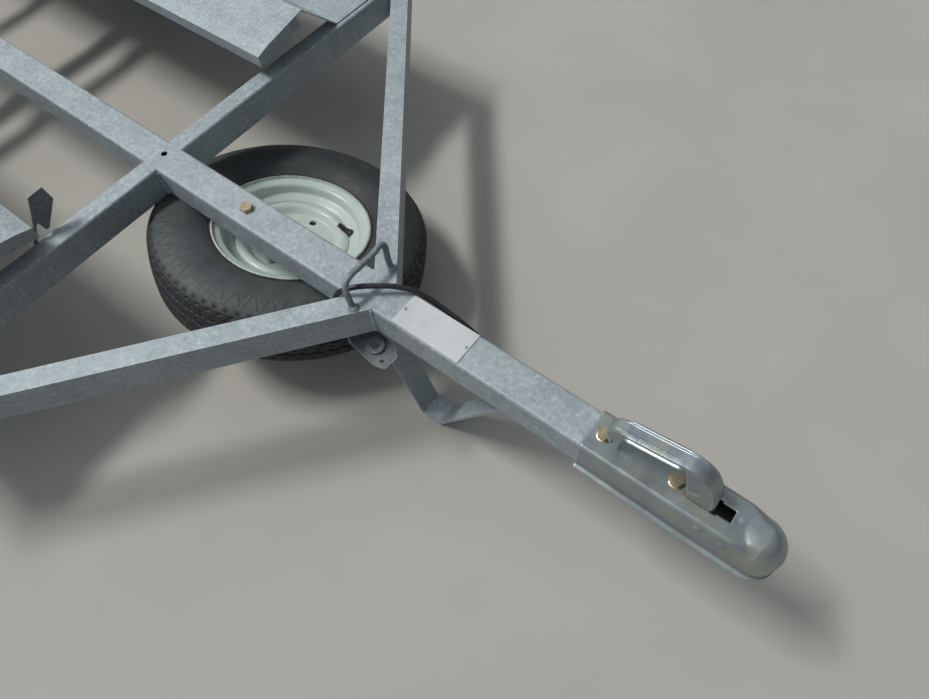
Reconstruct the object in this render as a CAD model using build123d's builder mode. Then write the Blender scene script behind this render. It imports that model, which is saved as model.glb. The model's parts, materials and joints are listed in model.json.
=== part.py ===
from build123d import *
from math import atan2, cos, degrees, hypot, radians, sin, tan
import os

os.makedirs("parts", exist_ok=True)

# A light two-rail motorcycle trailer, parked on its wheels and its front V-stand.
# Millimetres, +X forward to the coupler, +Y to the left, +Z up. The origin lies on
# the ground, under the middle of the overall box.

# Welded frame: a square spine that is also the drawbar, and flat box tubes
ground_z = 0
frame_top = 310
tube_height = 60
tube_wall = 3
tube_corner = 5
spine_width = 60
member_width = 38
diagonal_width = 35
diagonal_angle = 51.5
frame_half = 660
front_x = 400
rear_x = -1480
middle_xs = (-470, -900)
frame_bottom = frame_top - tube_height
spine_half = spine_width / 2
spine_front_x = front_x + 1012
hole_radius = 6
hole_y = 4
apex_x = front_x + round((frame_half - spine_half) / tan(radians(diagonal_angle)))

# Wheel rails, folded from galvanised sheet: an inner wing, two banks and a flat bed
rail_sheet = 2.5
rail_bed_inner = 446
rail_bed_width = 120
rail_crest_rise = 74
rail_bank_run = 76
rail_lip_y = 247
rail_lip_rise = 48
rail_lip_drop = 22
rail_fold_run = 27
rail_fold_rise = 56
rail_flap_run = 107
rail_flap_drop = 25
rail_seat = 0.3
rail_front_x = front_x - 10
rail_rear_x = rear_x + 10

# Wheels: 10 inch rims with 132 mm tyres, on trailing arms
tyre_radius = 253
tyre_width = 132
tyre_belly = 0.42
tyre_bead_radius = 128
rim_width = 84
rim_flange_radius = 144
rim_well_radius = 108
rim_sheet = 3
disc_sheet = 4
bead_gap = 0.2
bolt_circle = 130
bolt_count = 4
bolt_hole_radius = 7
centre_bore_radius = 40
wheel_x = -700
wheel_y = frame_half + 110
disc_offset = 2
wheel_z = ground_z + tyre_radius
arm_reach = 158
arm_thickness = 16
beam_size = 50
beam_wall = 4
axle_plate_thickness = 6
beam_x = wheel_x + arm_reach
beam_z = frame_bottom - axle_plate_thickness - beam_size / 2
stub_radius = 15
hub_radius = 46
hub_flange_radius = 80
hub_flange_thickness = 10
hub_clearance = 0.3

# Spare wheel, hung under the spine by one bolt through a wheel bolt hole, so it leans
spare_bolt_x = front_x + 200
spare_angle = 100
spare_side_lean = 14.5
spare_front_lean = 3.5
spare_gap = 0.3
spare_bolt_radius = 6
spare_nut_radius = 14

# Coupler for a 50 mm ball, pressed from sheet, bolted over the end of the spine
coupler_sheet = 3
coupler_corner = 8
coupler_rear_x = front_x + 869
coupler_nose_x = front_x + 1150
coupler_bolt_xs = (front_x + 888, front_x + 994)
ball_radius = 25
ball_clearance = 0.4
dome_radius = 33
ball_x = coupler_nose_x - dome_radius - 1
ball_z = frame_top - 30
skirt_z = frame_top - 58
flange_width = 9
slot_rear = 143
slot_step = 184
slot_front = 203
slot_half = 11
latch_top = ball_z + 9
latch_front_x = ball_x - ball_radius - 6

# The coupler's lever, a channel open below. Its outlines lie ahead of the coupler's rear edge
# and above the frame's top
handle_half = 12.5
handle_wall = 3
handle_bend = 6
handle_rear = ((31, 22), (20, 34), (29, 56))
handle_crown = ((29, 56), (49, 64), (90, 72), (128, 79.7), (151, 75.4), (168, 57), (177, 35), (179, 14))
handle_under = (
    (179, 14),
    (179, -8),
    (150, -8),
    (148, 0),
    (139, 26),
    (134, 42),
    (128, 60),
    (122, 64),
    (90, 57),
    (50, 50),
    (41, 36),
    (31, 22),
)
handle_hollow = (
    (28, 18),
    (25, 34),
    (27, 45),
    (33, 54),
    (50, 60),
    (90, 69),
    (127, 76),
    (146, 71),
    (160, 60),
    (170, 44),
    (174, 22),
    (176, 4),
    (176, -12),
    (146, -12),
    (144, 0),
    (133, 30),
    (126, 52),
    (118, 58),
    (90, 52),
    (52, 45),
    (44, 32),
    (38, 18),
)

# Front V-stand, apex bracket, rope loop and label plate
stand_foot_x = apex_x + 74
stand_rear_x = apex_x - 39
stand_front_x = apex_x + 244
stand_width = 44
stand_thickness = 5
stand_foot_length = 42
stand_tail = 40
loop_x = apex_x - 22
loop_half = 45
loop_rod = 5
loop_near_rise = 36
loop_far_rise = 52
loop_lean = 20
label_x0 = apex_x + 39
label_x1 = apex_x + 162
label_thickness = 1.5

# Bracket under the apex, and the upright plate behind the right half of the cross-member
bracket_thickness = 4
bracket_drop = 26
bracket_width = 36
bracket_x0 = apex_x - 55
bracket_x1 = apex_x + 19
bracket_y = -45
bracket_tongue = (
    (apex_x - 42, -62),
    (apex_x - 42, -28),
    (apex_x - 9, -20),
    (apex_x + 26, -24),
    (apex_x + 46, -39),
    (apex_x + 44, -67),
    (apex_x + 23, -72),
)
upright_thickness = 3
upright_outline = (
    (-191, frame_top + 74),
    (-218, frame_top + 73),
    (-240, frame_top + 26),
    (-256, frame_top + 1),
    (-262, frame_top - 10),
    (-262, frame_top - 40),
    (-250, frame_top - 40),
    (-250, frame_top),
    (-235, frame_top + 24),
    (-231, frame_top + 25),
    (-228, frame_top + 7),
    (-222, frame_top + 6),
    (-188, frame_top + 45),
)

# Wheel stops: a bent tube standing in each rail
stop_x = front_x - 330
stop_rod = 12.5
stop_half = 48
stop_height = 300

# Mudguards, lamps and the rear board
guard_radius = 285
guard_width = 190
guard_sheet = 2.5
guard_arc = 165
stay_angle = 11
stay_radius = 6
board_height = 120
board_half = 640
board_thickness = 3
lamp_length = 190
lamp_height = 110
tail_x = -1550
plate_length = 520
plate_height = 110
reflector_thickness = 6
reflector_x = front_x - 420

# Cable: out of a grommet in the spine's side, over the spine, down its left side and to the plug
# that is held under it
cable_radius = 4.25
grommet_radius = 7
cable_route = (
    (apex_x - 75, -37, frame_top - 44),
    (apex_x - 75, -49, frame_top - 44),
    (apex_x - 71, -55, frame_top - 33),
    (apex_x - 64, -44, frame_top - 14),
    (apex_x - 58, -38, frame_top + 5),
    (apex_x - 45, -31, frame_top + 16),
    (apex_x - 29, -16, frame_top + 19),
    (apex_x - 13, -3, frame_top + 18),
    (apex_x + 13, 17, frame_top + 16),
    (apex_x + 44, 34, frame_top + 6),
    (apex_x + 78, 41, frame_top - 12),
    (apex_x + 120, 43, frame_top - 26),
    (apex_x + 163, 45, frame_top - 50),
    (apex_x + 203, 46, frame_top - 68),
    (coupler_rear_x - 131, 43, frame_top - 79),
    (coupler_rear_x - 114, 33, frame_top - 81.5),
    (coupler_rear_x - 98, 22.5, frame_top - 82.5),
    (coupler_rear_x - 82, 15.5, frame_top - 82.5),
    (coupler_rear_x - 67, 15, frame_top - 82.5),
)
plug_radius = 17
plug_length = 52

finished = []


def box_tube_sketch(width, height, corner, wall):
    """One box tube's cross-section, drawn in the builder that is open."""
    RectangleRounded(width, height, corner)
    RectangleRounded(width - 2 * wall, height - 2 * wall, corner - wall, mode=Mode.SUBTRACT)


tube_middle_z = frame_top - tube_height / 2

# Spine: one tube from the rear cross-member into the coupler
with BuildPart() as spine:
    with BuildSketch(Plane.YZ.offset(rear_x)):
        with Locations((0, tube_middle_z)):
            box_tube_sketch(spine_width, tube_height, tube_corner, tube_wall)
    extrude(amount=spine_front_x - rear_x)
    with Locations((front_x - member_width / 2, hole_y, frame_top)):
        Hole(hole_radius, depth=2 * tube_wall)
    with Locations(*[(x, 0, frame_top) for x in (*coupler_bolt_xs, spare_bolt_x)]):
        Hole(spare_bolt_radius, depth=tube_height)
spine.part.label = "spine_tube"
finished.append(spine)

# Cross-members, each in two halves welded to the sides of the spine
member_rows = (
    ("front_cross_member", (front_x - member_width,)),
    ("middle_cross_members", middle_xs),
    ("rear_cross_member", (rear_x,)),
)
for name, rear_faces in member_rows:
    with BuildPart() as member:
        for side in (1, -1):
            with BuildSketch(Plane.XZ.offset(-side * spine_half)):
                with Locations(*[(x + member_width / 2, tube_middle_z) for x in rear_faces]):
                    box_tube_sketch(member_width, tube_height, tube_corner, tube_wall)
            extrude(amount=-side * (frame_half - spine_half))
    member.part.label = name
    finished.append(member)

# Side members, between the front and rear cross-members, under the rails' outer edges
side_y = frame_half - member_width / 2
for side, name in ((1, "left"), (-1, "right")):
    with BuildPart() as side_member:
        bays = [rear_x + member_width]
        for x in sorted(middle_xs):
            bays += [x, x + member_width]
        bays.append(front_x - member_width)
        for start, end in zip(bays[::2], bays[1::2]):
            with BuildSketch(Plane.YZ.offset(start)):
                with Locations((side * side_y, tube_middle_z)):
                    box_tube_sketch(member_width, tube_height, tube_corner, tube_wall)
            extrude(amount=end - start)
    side_member.part.label = f"side_member_{name}"
    finished.append(side_member)

# Diagonals from the cross-member's ends to the spine, mitred at both ends
slope = tan(radians(diagonal_angle))
diagonal_skew = diagonal_width / cos(radians(diagonal_angle))
for side, name in ((1, "left"), (-1, "right")):
    with BuildPart() as diagonal:
        with BuildSketch(Plane.XY.offset(frame_bottom)):
            for inset in (0, tube_wall):
                outer_y = frame_half - inset / cos(radians(diagonal_angle))
                inner_y = frame_half - diagonal_skew + inset / cos(radians(diagonal_angle))
                corners = [
                    (front_x, side * outer_y),
                    (front_x, side * inner_y),
                    (front_x + (inner_y - spine_half) / slope, side * spine_half),
                    (front_x + (outer_y - spine_half) / slope, side * spine_half),
                ]
                if inset == 0:
                    Polygon(*corners, align=None)
                    walls = corners
                else:
                    hollow = corners
        extrude(amount=tube_height)
        with BuildSketch(Plane.XY.offset(frame_bottom + tube_wall)):
            Polygon(*hollow, align=None)
        extrude(amount=tube_height - 2 * tube_wall, mode=Mode.SUBTRACT)
    diagonal.part.label = f"diagonal_{name}"
    finished.append(diagonal)

# Rails: one folded section from the inner lip to the outer lip
bed_z = frame_top + rail_seat
bed_outer = rail_bed_inner + rail_bed_width
crest_z = frame_top + rail_crest_rise
lip_z = frame_top + rail_lip_rise
fold_y = rail_lip_y + rail_fold_run
fold_z = frame_top + rail_fold_rise
wing_slope = (crest_z - fold_z) / (rail_bed_inner - rail_bank_run - fold_y)
flap_y = rail_lip_y + rail_flap_run
flap_z = fold_z + wing_slope * (flap_y - fold_y)
for side, name in ((1, "left"), (-1, "right")):
    with BuildPart() as rail:
        with BuildSketch(Plane.YZ.offset(rail_rear_x)):
            with BuildLine():
                Polyline(
                    (side * rail_lip_y, lip_z - rail_lip_drop),
                    (side * rail_lip_y, lip_z),
                    (side * (rail_lip_y + rail_fold_run), fold_z),
                    (side * (rail_bed_inner - rail_bank_run), crest_z),
                    (side * rail_bed_inner, bed_z + rail_sheet),
                    (side * bed_outer, bed_z + rail_sheet),
                    (side * (bed_outer + rail_bank_run), crest_z),
                    (side * (bed_outer + rail_bank_run), crest_z - rail_lip_drop),
                )
                offset(amount=rail_sheet, side=Side.RIGHT if side > 0 else Side.LEFT, closed=True)
            make_face()
        extrude(amount=rail_front_x - rail_rear_x)
        with BuildSketch(Plane.YZ.offset(rail_front_x - rail_sheet)):
            Polygon(
                (side * rail_lip_y, lip_z - rail_flap_drop + 3),
                (side * rail_lip_y, lip_z),
                (side * fold_y, fold_z),
                (side * flap_y, flap_z),
                (side * (flap_y + 6), flap_z - rail_flap_drop),
                align=None,
            )
        extrude(amount=rail_sheet)
    rail.part.label = f"rail_{name}"
    finished.append(rail)

# Axle: a beam under the side members, seated on plates, with a trailing arm at each end
with BuildPart() as axle_plates:
    with Locations(*[(beam_x, side * side_y, frame_bottom - axle_plate_thickness / 2) for side in (1, -1)]):
        Box(beam_size + 70, member_width, axle_plate_thickness)
axle_plates.part.label = "axle_plates"
finished.append(axle_plates)

with BuildPart() as axle_beam:
    with BuildSketch(Plane.XZ.offset(-frame_half)):
        with Locations((beam_x, beam_z)):
            box_tube_sketch(beam_size, beam_size, tube_corner, beam_wall)
    extrude(amount=2 * frame_half)
axle_beam.part.label = "axle_beam"
finished.append(axle_beam)

arm_pitch = degrees(atan2(wheel_z - beam_z, -arm_reach))
arm_length = hypot(wheel_z - beam_z, arm_reach)
disc_y = wheel_y + disc_offset
for side, name in ((1, "left"), (-1, "right")):
    with BuildPart() as arm:
        with BuildSketch(Plane.XZ.offset(-side * frame_half)):
            with Locations((beam_x, beam_z)):
                Circle(beam_size / 2)
            with Locations((wheel_x, wheel_z)):
                Circle(beam_size / 2 - 4)
            with Locations(((beam_x + wheel_x) / 2, (beam_z + wheel_z) / 2)):
                Rectangle(arm_length, beam_size - 10, rotation=arm_pitch)
        extrude(amount=-side * arm_thickness)
        with BuildSketch(Plane.XZ.offset(-side * (frame_half + arm_thickness))):
            with Locations((wheel_x, wheel_z)):
                Circle(stub_radius)
        extrude(amount=-side * (disc_y + 20 - frame_half - arm_thickness))
    arm.part.label = f"trailing_arm_{name}"
    finished.append(arm)


def wheel_plane(side):
    """The plane of one road wheel's axis section: x is the radius, y runs outboard."""
    return Plane(origin=(wheel_x, side * wheel_y, wheel_z), x_dir=(1, 0, 0), z_dir=(0, 0, side))


# Hubs: a bored barrel with a flange for the wheel bolts
for side, name in ((1, "left"), (-1, "right")):
    axis = Axis((wheel_x, 0, wheel_z), (0, 1, 0))
    with BuildPart() as hub:
        with BuildSketch(wheel_plane(side)):
            with BuildLine():
                Polyline(
                    (stub_radius + hub_clearance, -62),
                    (hub_radius, -62),
                    (hub_radius, disc_offset - hub_flange_thickness),
                    (hub_flange_radius, disc_offset - hub_flange_thickness),
                    (hub_flange_radius, disc_offset),
                    (centre_bore_radius - 1, disc_offset),
                    (centre_bore_radius - 5, disc_offset + 30),
                    (0, disc_offset + 30),
                    (0, disc_offset + 24),
                    (stub_radius + hub_clearance, disc_offset + 24),
                    close=True,
                )
            make_face()
        revolve(axis=axis)
    hub.part.label = f"hub_{name}"
    finished.append(hub)


def rim_section():
    """The well and flanges of a rim as one bent strip: x is the radius, y runs outboard."""
    half = rim_width / 2
    seat = tyre_bead_radius - bead_gap
    with BuildSketch() as section:
        with BuildLine():
            FilletPolyline(
                (rim_flange_radius, -half - 7),
                (rim_flange_radius - 2, -half - 0.5),
                (seat, -half + 3.5),
                (seat - 2, -22),
                (rim_well_radius, -14),
                (rim_well_radius, 14),
                (seat - 2, 22),
                (seat, half - 3.5),
                (rim_flange_radius - 2, half + 0.5),
                (rim_flange_radius, half + 7),
                radius=[3.5, 5, 8, 5, 5, 8, 5, 3.5],
            )
            offset(amount=rim_sheet, side=Side.LEFT, closed=True)
        make_face()
    return section.sketch


def disc_section(face):
    """The dished disc that joins the well to the hub, its seat at the given height."""
    with BuildSketch() as section:
        with BuildLine():
            FilletPolyline(
                (centre_bore_radius, face),
                (bolt_circle / 2 + 16, face),
                (rim_well_radius - 16, face + 14),
                (rim_well_radius - 8, face + 12),
                (rim_well_radius, face - 2),
                radius=[8, 6, 6],
            )
            offset(amount=disc_sheet, side=Side.LEFT, closed=True)
        make_face()
    return section.sketch


def tyre_section():
    """Rounded sidewalls between the beads and a nearly flat crown, with the air space inside."""
    half = tyre_width / 2
    bead = rim_width / 2 - 4
    belly = rim_flange_radius + tyre_belly * (tyre_radius - rim_flange_radius)
    with BuildSketch() as section:
        with BuildLine():
            Polyline((tyre_bead_radius + 12, bead - 10), (tyre_bead_radius, bead - 12), (tyre_bead_radius, bead - 5))
            Polyline((tyre_bead_radius, bead - 5), (tyre_bead_radius + 3, bead), (rim_flange_radius + 1, bead + 4.2))
            ThreePointArc((rim_flange_radius + 1, bead + 4.2), (belly, half), (tyre_radius - 12, half - 14))
            ThreePointArc((tyre_radius - 12, half - 14), (tyre_radius - 5, half - 20), (tyre_radius - 2, half - 30))
            ThreePointArc((tyre_radius - 2, half - 30), (tyre_radius, 0), (tyre_radius - 2, 30 - half))
            ThreePointArc((tyre_radius - 2, 30 - half), (tyre_radius - 5, 20 - half), (tyre_radius - 12, 14 - half))
            ThreePointArc((tyre_radius - 12, 14 - half), (belly, -half), (rim_flange_radius + 1, -bead - 4.2))
            Polyline((rim_flange_radius + 1, -bead - 4.2), (tyre_bead_radius + 3, -bead), (tyre_bead_radius, 5 - bead))
            Polyline((tyre_bead_radius, 5 - bead), (tyre_bead_radius, 12 - bead), (tyre_bead_radius + 12, 10 - bead))
            ThreePointArc((tyre_bead_radius + 12, 10 - bead), (belly, 10 - half), (tyre_radius - 16, 36 - half))
            Line((tyre_radius - 16, 36 - half), (tyre_radius - 16, half - 36))
            ThreePointArc((tyre_radius - 16, half - 36), (belly, half - 10), (tyre_bead_radius + 12, bead - 10))
        make_face()
    return section.sketch


# Spare wheel: leaned about its bolt hole, and raised until its tyre meets the frame's underside
spare_up = Vector(0, 0, 1).rotate(Axis.Y, spare_front_lean).rotate(Axis.X, -spare_side_lean)
spare_level = Vector(1, 0).rotate(Axis.Z, spare_angle)
spare_out = (spare_level - spare_up * spare_level.dot(spare_up)).normalized()
disc_middle = disc_offset + disc_sheet / 2


def spare_place(hole_z):
    """The spare wheel's plane, with the middle of its bolt hole on the bolt at the given height."""
    hole = Vector(spare_bolt_x, 0, hole_z)
    centre = hole + spare_out * (bolt_circle / 2) - spare_up * disc_middle
    return Plane(origin=centre, x_dir=-spare_out, z_dir=spare_up)


def section_plane(place):
    """The plane of a wheel's axis section: x is the radius, y runs along the wheel's axis."""
    return Plane(origin=place.origin, x_dir=place.x_dir, z_dir=place.x_dir.cross(place.z_dir))


frame_under = [spine.part] + [piece.part for piece in finished if piece.part.label == "front_cross_member"]
spare_hole_z = frame_bottom - tyre_width
for attempt in range(4):
    with BuildPart() as trial:
        with BuildSketch(section_plane(spare_place(spare_hole_z))):
            add(tyre_section())
        revolve(axis=Axis(spare_place(spare_hole_z).origin, spare_up))
    spare_hole_z += min(trial.part.distance_to(part) for part in frame_under) - spare_gap
print("spare wheel's bolt hole at z", round(spare_hole_z, 2))

wheel_rows = (
    ("left", Plane(origin=(wheel_x, wheel_y, wheel_z), x_dir=(1, 0, 0), z_dir=(0, 1, 0)), 45),
    ("right", Plane(origin=(wheel_x, -wheel_y, wheel_z), x_dir=(1, 0, 0), z_dir=(0, -1, 0)), 45),
    ("spare", spare_place(spare_hole_z), 0),
)
for name, place, first_angle in wheel_rows:
    with BuildPart() as rim:
        with BuildSketch(section_plane(place)):
            add(rim_section())
            add(disc_section(disc_offset))
        revolve(axis=Axis(place.origin, place.z_dir))
        with BuildSketch(place):
            with PolarLocations(bolt_circle / 2, bolt_count, start_angle=first_angle):
                Circle(bolt_hole_radius)
        extrude(amount=rim_width, both=True, mode=Mode.SUBTRACT)
    rim.part.label = f"rim_{name}"
    finished.append(rim)
    with BuildPart() as tyre:
        with BuildSketch(section_plane(place)):
            add(tyre_section())
        revolve(axis=Axis(place.origin, place.z_dir))
    tyre.part.label = f"tyre_{name}"
    finished.append(tyre)

# The bolt that holds the spare wheel: its head on the spine, its flanged nut under the leaning disc
lean_drop = spare_nut_radius * hypot(spare_up.X, spare_up.Y) / spare_up.Z
nut_top = spare_hole_z - disc_sheet / 2 / spare_up.Z - lean_drop - 0.3
with BuildPart() as spare_bolt:
    with BuildSketch(Plane.XY.offset(frame_top)):
        with Locations((spare_bolt_x, 0)):
            RegularPolygon(11, 6)
    extrude(amount=8)
    with BuildSketch(Plane.XY.offset(nut_top - 20)):
        with Locations((spare_bolt_x, 0)):
            Circle(spare_bolt_radius - 0.3)
    extrude(amount=frame_top - nut_top + 20)
    with BuildSketch(Plane.XY.offset(nut_top - 3)):
        with Locations((spare_bolt_x, 0)):
            Circle(spare_nut_radius)
    extrude(amount=3)
    with BuildSketch(Plane.XY.offset(nut_top - 13)):
        with Locations((spare_bolt_x, 0)):
            RegularPolygon(11, 6)
    extrude(amount=10)
spare_bolt.part.label = "spare_wheel_bolt"
finished.append(spare_bolt)

# Wheel stops: two legs and a round bow, each leg on a foot plate in the rail's bed
bed_top = bed_z + rail_sheet
bed_y = rail_bed_inner + rail_bed_width / 2
for side, name in ((1, "left"), (-1, "right")):
    with BuildPart() as stop:
        with BuildLine(Plane.YZ.offset(stop_x)) as stop_path:
            FilletPolyline(
                (side * bed_y - stop_half, bed_top + 4),
                (side * bed_y - stop_half, bed_top + stop_height),
                (side * bed_y + stop_half, bed_top + stop_height),
                (side * bed_y + stop_half, bed_top + 4),
                radius=stop_half - 6,
            )
        with BuildSketch(Plane.XY.offset(bed_top + 4)):
            with Locations((stop_x, side * bed_y - stop_half)):
                Circle(stop_rod)
        sweep(path=stop_path.wires()[0])
        with BuildSketch(Plane.XY.offset(bed_top)):
            with Locations((stop_x, side * bed_y)):
                Rectangle(60, rail_bed_width - 4)
        extrude(amount=4)
    stop.part.label = f"wheel_stop_{name}"
    finished.append(stop)

# Mudguards: a rolled sheet over each wheel, on two stays from the side member
for side, name in ((1, "left"), (-1, "right")):
    centre = (wheel_x, wheel_z)
    start = 90 - guard_arc / 2
    with BuildPart() as guard:
        with BuildSketch(Plane.XZ.offset(-side * (wheel_y - guard_width / 2 + 5))):
            with BuildLine():
                CenterArc(centre, guard_radius, start, guard_arc)
                offset(amount=guard_sheet, side=Side.RIGHT, closed=True)
            make_face()
        extrude(amount=-side * guard_width)
    guard.part.label = f"mudguard_{name}"
    finished.append(guard)

stay_reach = guard_radius - stay_radius - 0.2
with BuildPart() as stays:
    for side in (1, -1):
        with BuildSketch(Plane.XZ.offset(-side * frame_half)):
            for end in (1, -1):
                with Locations(
                    (
                        wheel_x + end * stay_reach * cos(radians(stay_angle)),
                        wheel_z + stay_reach * sin(radians(stay_angle)),
                    )
                ):
                    Circle(stay_radius)
        extrude(amount=-side * (wheel_y + guard_width / 2 - frame_half))
stays.part.label = "mudguard_stays"
finished.append(stays)

# Coupler body: a channel over the spine whose shoulders grow round towards the dome over the ball
coupler_half = spine_half + coupler_sheet + 0.3
coupler_top = frame_top + coupler_sheet
coupler_bottom = skirt_z - coupler_sheet
coupler_join_x = spine_front_x + 10


def arch_sketch(half, top, corner):
    """An arch across the coupler, from its skirt over two rounded shoulders."""
    bend = corner * (1 - cos(radians(45)))
    with BuildSketch() as section:
        with BuildLine():
            Line((-half, coupler_bottom), (-half, top - corner))
            ThreePointArc((-half, top - corner), (-half + bend, top - bend), (-half + corner, top))
            Line((-half + corner, top), (half - corner, top))
            ThreePointArc((half - corner, top), (half - bend, top - bend), (half, top - corner))
            Line((half, top - corner), (half, coupler_bottom))
            Line((half, coupler_bottom), (-half, coupler_bottom))
        make_face()
    return section.sketch


with BuildPart() as coupler:
    with BuildSketch(Plane.YZ.offset(coupler_rear_x)):
        add(arch_sketch(coupler_half, coupler_top, coupler_corner))
    extrude(amount=coupler_join_x - coupler_rear_x)
    with BuildSketch(Plane.YZ.offset(coupler_join_x)):
        add(arch_sketch(coupler_half, coupler_top, coupler_corner))
    with BuildSketch(Plane.YZ.offset(ball_x)):
        add(arch_sketch(dome_radius, coupler_top, dome_radius - 2))
    loft(ruled=True)
    with Locations((ball_x, 0, ball_z)):
        Sphere(dome_radius)
        Cylinder(dome_radius, ball_z - skirt_z + coupler_sheet, align=(Align.CENTER, Align.CENTER, Align.MAX))
    with BuildSketch(Plane.XY.offset(coupler_bottom)):
        Polygon(
            (coupler_rear_x, coupler_half + flange_width),
            (coupler_rear_x, -coupler_half - flange_width),
            (ball_x - dome_radius, -coupler_half - flange_width),
            (ball_x, -dome_radius - 1),
            (ball_x, dome_radius + 1),
            (ball_x - dome_radius, coupler_half + flange_width),
            align=None,
        )
        with Locations((ball_x, 0)):
            Circle(dome_radius + 1)
    extrude(amount=coupler_sheet)
    with BuildSketch(Plane.YZ.offset(coupler_rear_x)):
        with Locations((0, frame_top + 0.3 - tube_height)):
            Rectangle(spine_width + 0.6, 2 * tube_height)
    extrude(amount=coupler_join_x - 2 - coupler_rear_x, mode=Mode.SUBTRACT)
    with BuildSketch(Plane.YZ.offset(coupler_join_x - 2)):
        with Locations((0, (latch_top + frame_top - coupler_sheet) / 2)):
            Rectangle(2 * ball_radius, frame_top - coupler_sheet - latch_top)
    extrude(amount=latch_front_x - coupler_join_x + 2, mode=Mode.SUBTRACT)
    with Locations((ball_x, 0, ball_z)):
        Sphere(ball_radius + ball_clearance, mode=Mode.SUBTRACT)
        Cylinder(
            ball_radius + ball_clearance,
            ball_z - skirt_z + 2 * coupler_sheet,
            align=(Align.CENTER, Align.CENTER, Align.MAX),
            mode=Mode.SUBTRACT,
        )
    with BuildSketch(Plane.XY.offset(coupler_top)):
        for start, end, half in ((slot_rear, slot_step, handle_half + 0.7), (slot_step, slot_front, slot_half)):
            with Locations((coupler_rear_x + (start + end) / 2, 0)):
                Rectangle(end - start, 2 * half)
    extrude(amount=-3 * coupler_sheet, mode=Mode.SUBTRACT)
coupler.part.label = "coupler_body"
finished.append(coupler)

# Coupler lever: a pressed channel with a rounded back, whose front end goes down into the slot
with BuildPart() as handle:
    with BuildSketch(Plane.XZ.offset(-handle_half)):
        with BuildLine(Plane((coupler_rear_x, frame_top))):
            ThreePointArc(*handle_rear)
            Spline(*handle_crown, tangents=[(9, 4), (0, -1)])
            Polyline(*handle_under)
        make_face()
    extrude(amount=2 * handle_half)
    fillet(handle.edges().filter_by(GeomType.BSPLINE), handle_bend)
    with BuildSketch(Plane.XZ.offset(-handle_half + handle_wall)):
        Polygon(*[(coupler_rear_x + x, frame_top + z) for x, z in handle_hollow], align=None)
    extrude(amount=2 * (handle_half - handle_wall), mode=Mode.SUBTRACT)
handle.part.label = "coupler_handle"
finished.append(handle)

# Coupler bolts: hexagon heads on top, shanks through coupler and spine
with BuildPart() as coupler_bolts:
    for x in coupler_bolt_xs:
        with BuildSketch(Plane.XY.offset(frame_top + coupler_sheet)):
            with Locations((x, 0)):
                RegularPolygon(9, 6)
        extrude(amount=7.5)
coupler_bolts.part.label = "coupler_bolts"
finished.append(coupler_bolts)

# V-stand: one flat bar bent into a V, its foot on the ground
with BuildPart() as stand:
    with BuildSketch(Plane.XZ.offset(-stand_width / 2)):
        with BuildLine():
            Polyline(
                (stand_rear_x - stand_tail, frame_bottom),
                (stand_rear_x, frame_bottom),
                (stand_foot_x - stand_foot_length / 2, ground_z),
                (stand_foot_x + stand_foot_length / 2, ground_z),
                (stand_front_x, frame_bottom),
                (stand_front_x + stand_tail, frame_bottom),
            )
            offset(amount=stand_thickness, side=Side.LEFT, closed=True)
        make_face()
    extrude(amount=stand_width)
    split(bisect_by=Plane.XY.offset(frame_bottom), keep=Keep.BOTTOM)
stand.part.label = "v_stand"
finished.append(stand)

# Rope loop: a bent rod welded to the front ends of the diagonals, leaning back and bent unevenly
loop_plane = Plane(
    origin=(loop_x, 0, frame_top),
    x_dir=(0, 1, 0),
    z_dir=(cos(radians(loop_lean)), 0, sin(radians(loop_lean))),
)
with BuildPart() as loop:
    with BuildLine(loop_plane) as loop_path:
        FilletPolyline(
            (-loop_half, -loop_rod),
            (-loop_half - 1, loop_near_rise),
            (loop_half - 4, loop_far_rise),
            (loop_half, -loop_rod),
            radius=13,
        )
    loop_wire = loop_path.wires()[0]
    with BuildSketch(Plane(origin=loop_wire @ 0, z_dir=loop_wire % 0)):
        Circle(loop_rod)
    sweep(path=loop_wire)
    split(bisect_by=Plane.XY.offset(frame_top), keep=Keep.TOP)
loop.part.label = "rope_loop"
finished.append(loop)

# Bracket under the apex: a strip under the right diagonal, stepped down to a bored tongue
with BuildPart() as bracket:
    with BuildSketch(Plane.XZ.offset(-bracket_y - bracket_width / 2)):
        with BuildLine():
            Polyline(
                (bracket_x0, frame_bottom),
                (bracket_x0 + 18, frame_bottom),
                (bracket_x0 + 24, frame_bottom - bracket_drop),
                (bracket_x0 + 40, frame_bottom - bracket_drop),
            )
            offset(amount=bracket_thickness, side=Side.RIGHT, closed=True)
        make_face()
    extrude(amount=bracket_width)
    with BuildSketch(Plane.XY.offset(frame_bottom - bracket_drop - bracket_thickness)) as tongue:
        Polygon(*bracket_tongue, align=None)
        fillet(tongue.vertices(), 6)
    extrude(amount=bracket_thickness)
    with Locations((bracket_x1 - 14, bracket_y, frame_bottom - bracket_drop)):
        Cylinder(15, 6, align=(Align.CENTER, Align.CENTER, Align.MIN))
        Hole(8, depth=20)
    with Locations((bracket_x1 + 11, bracket_y - 14, frame_bottom - bracket_drop)):
        Hole(4, depth=20)
bracket.part.label = "apex_bracket"
finished.append(bracket)

# Upright plate on the rear face of the front cross-member, beside the right rail
with BuildPart() as upright:
    with BuildSketch(Plane.YZ.offset(front_x - member_width - upright_thickness)):
        Polygon(*upright_outline, align=None)
    extrude(amount=upright_thickness)
upright.part.label = "upright_bracket"
finished.append(upright)

# Blank label plate on the spine
with BuildPart() as label_plate:
    with BuildSketch(Plane.XY.offset(frame_top)):
        with Locations(((label_x0 + label_x1) / 2, 0)):
            Rectangle(label_x1 - label_x0, spine_width - 4)
    extrude(amount=label_thickness)
label_plate.part.label = "label_plate"
finished.append(label_plate)

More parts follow.
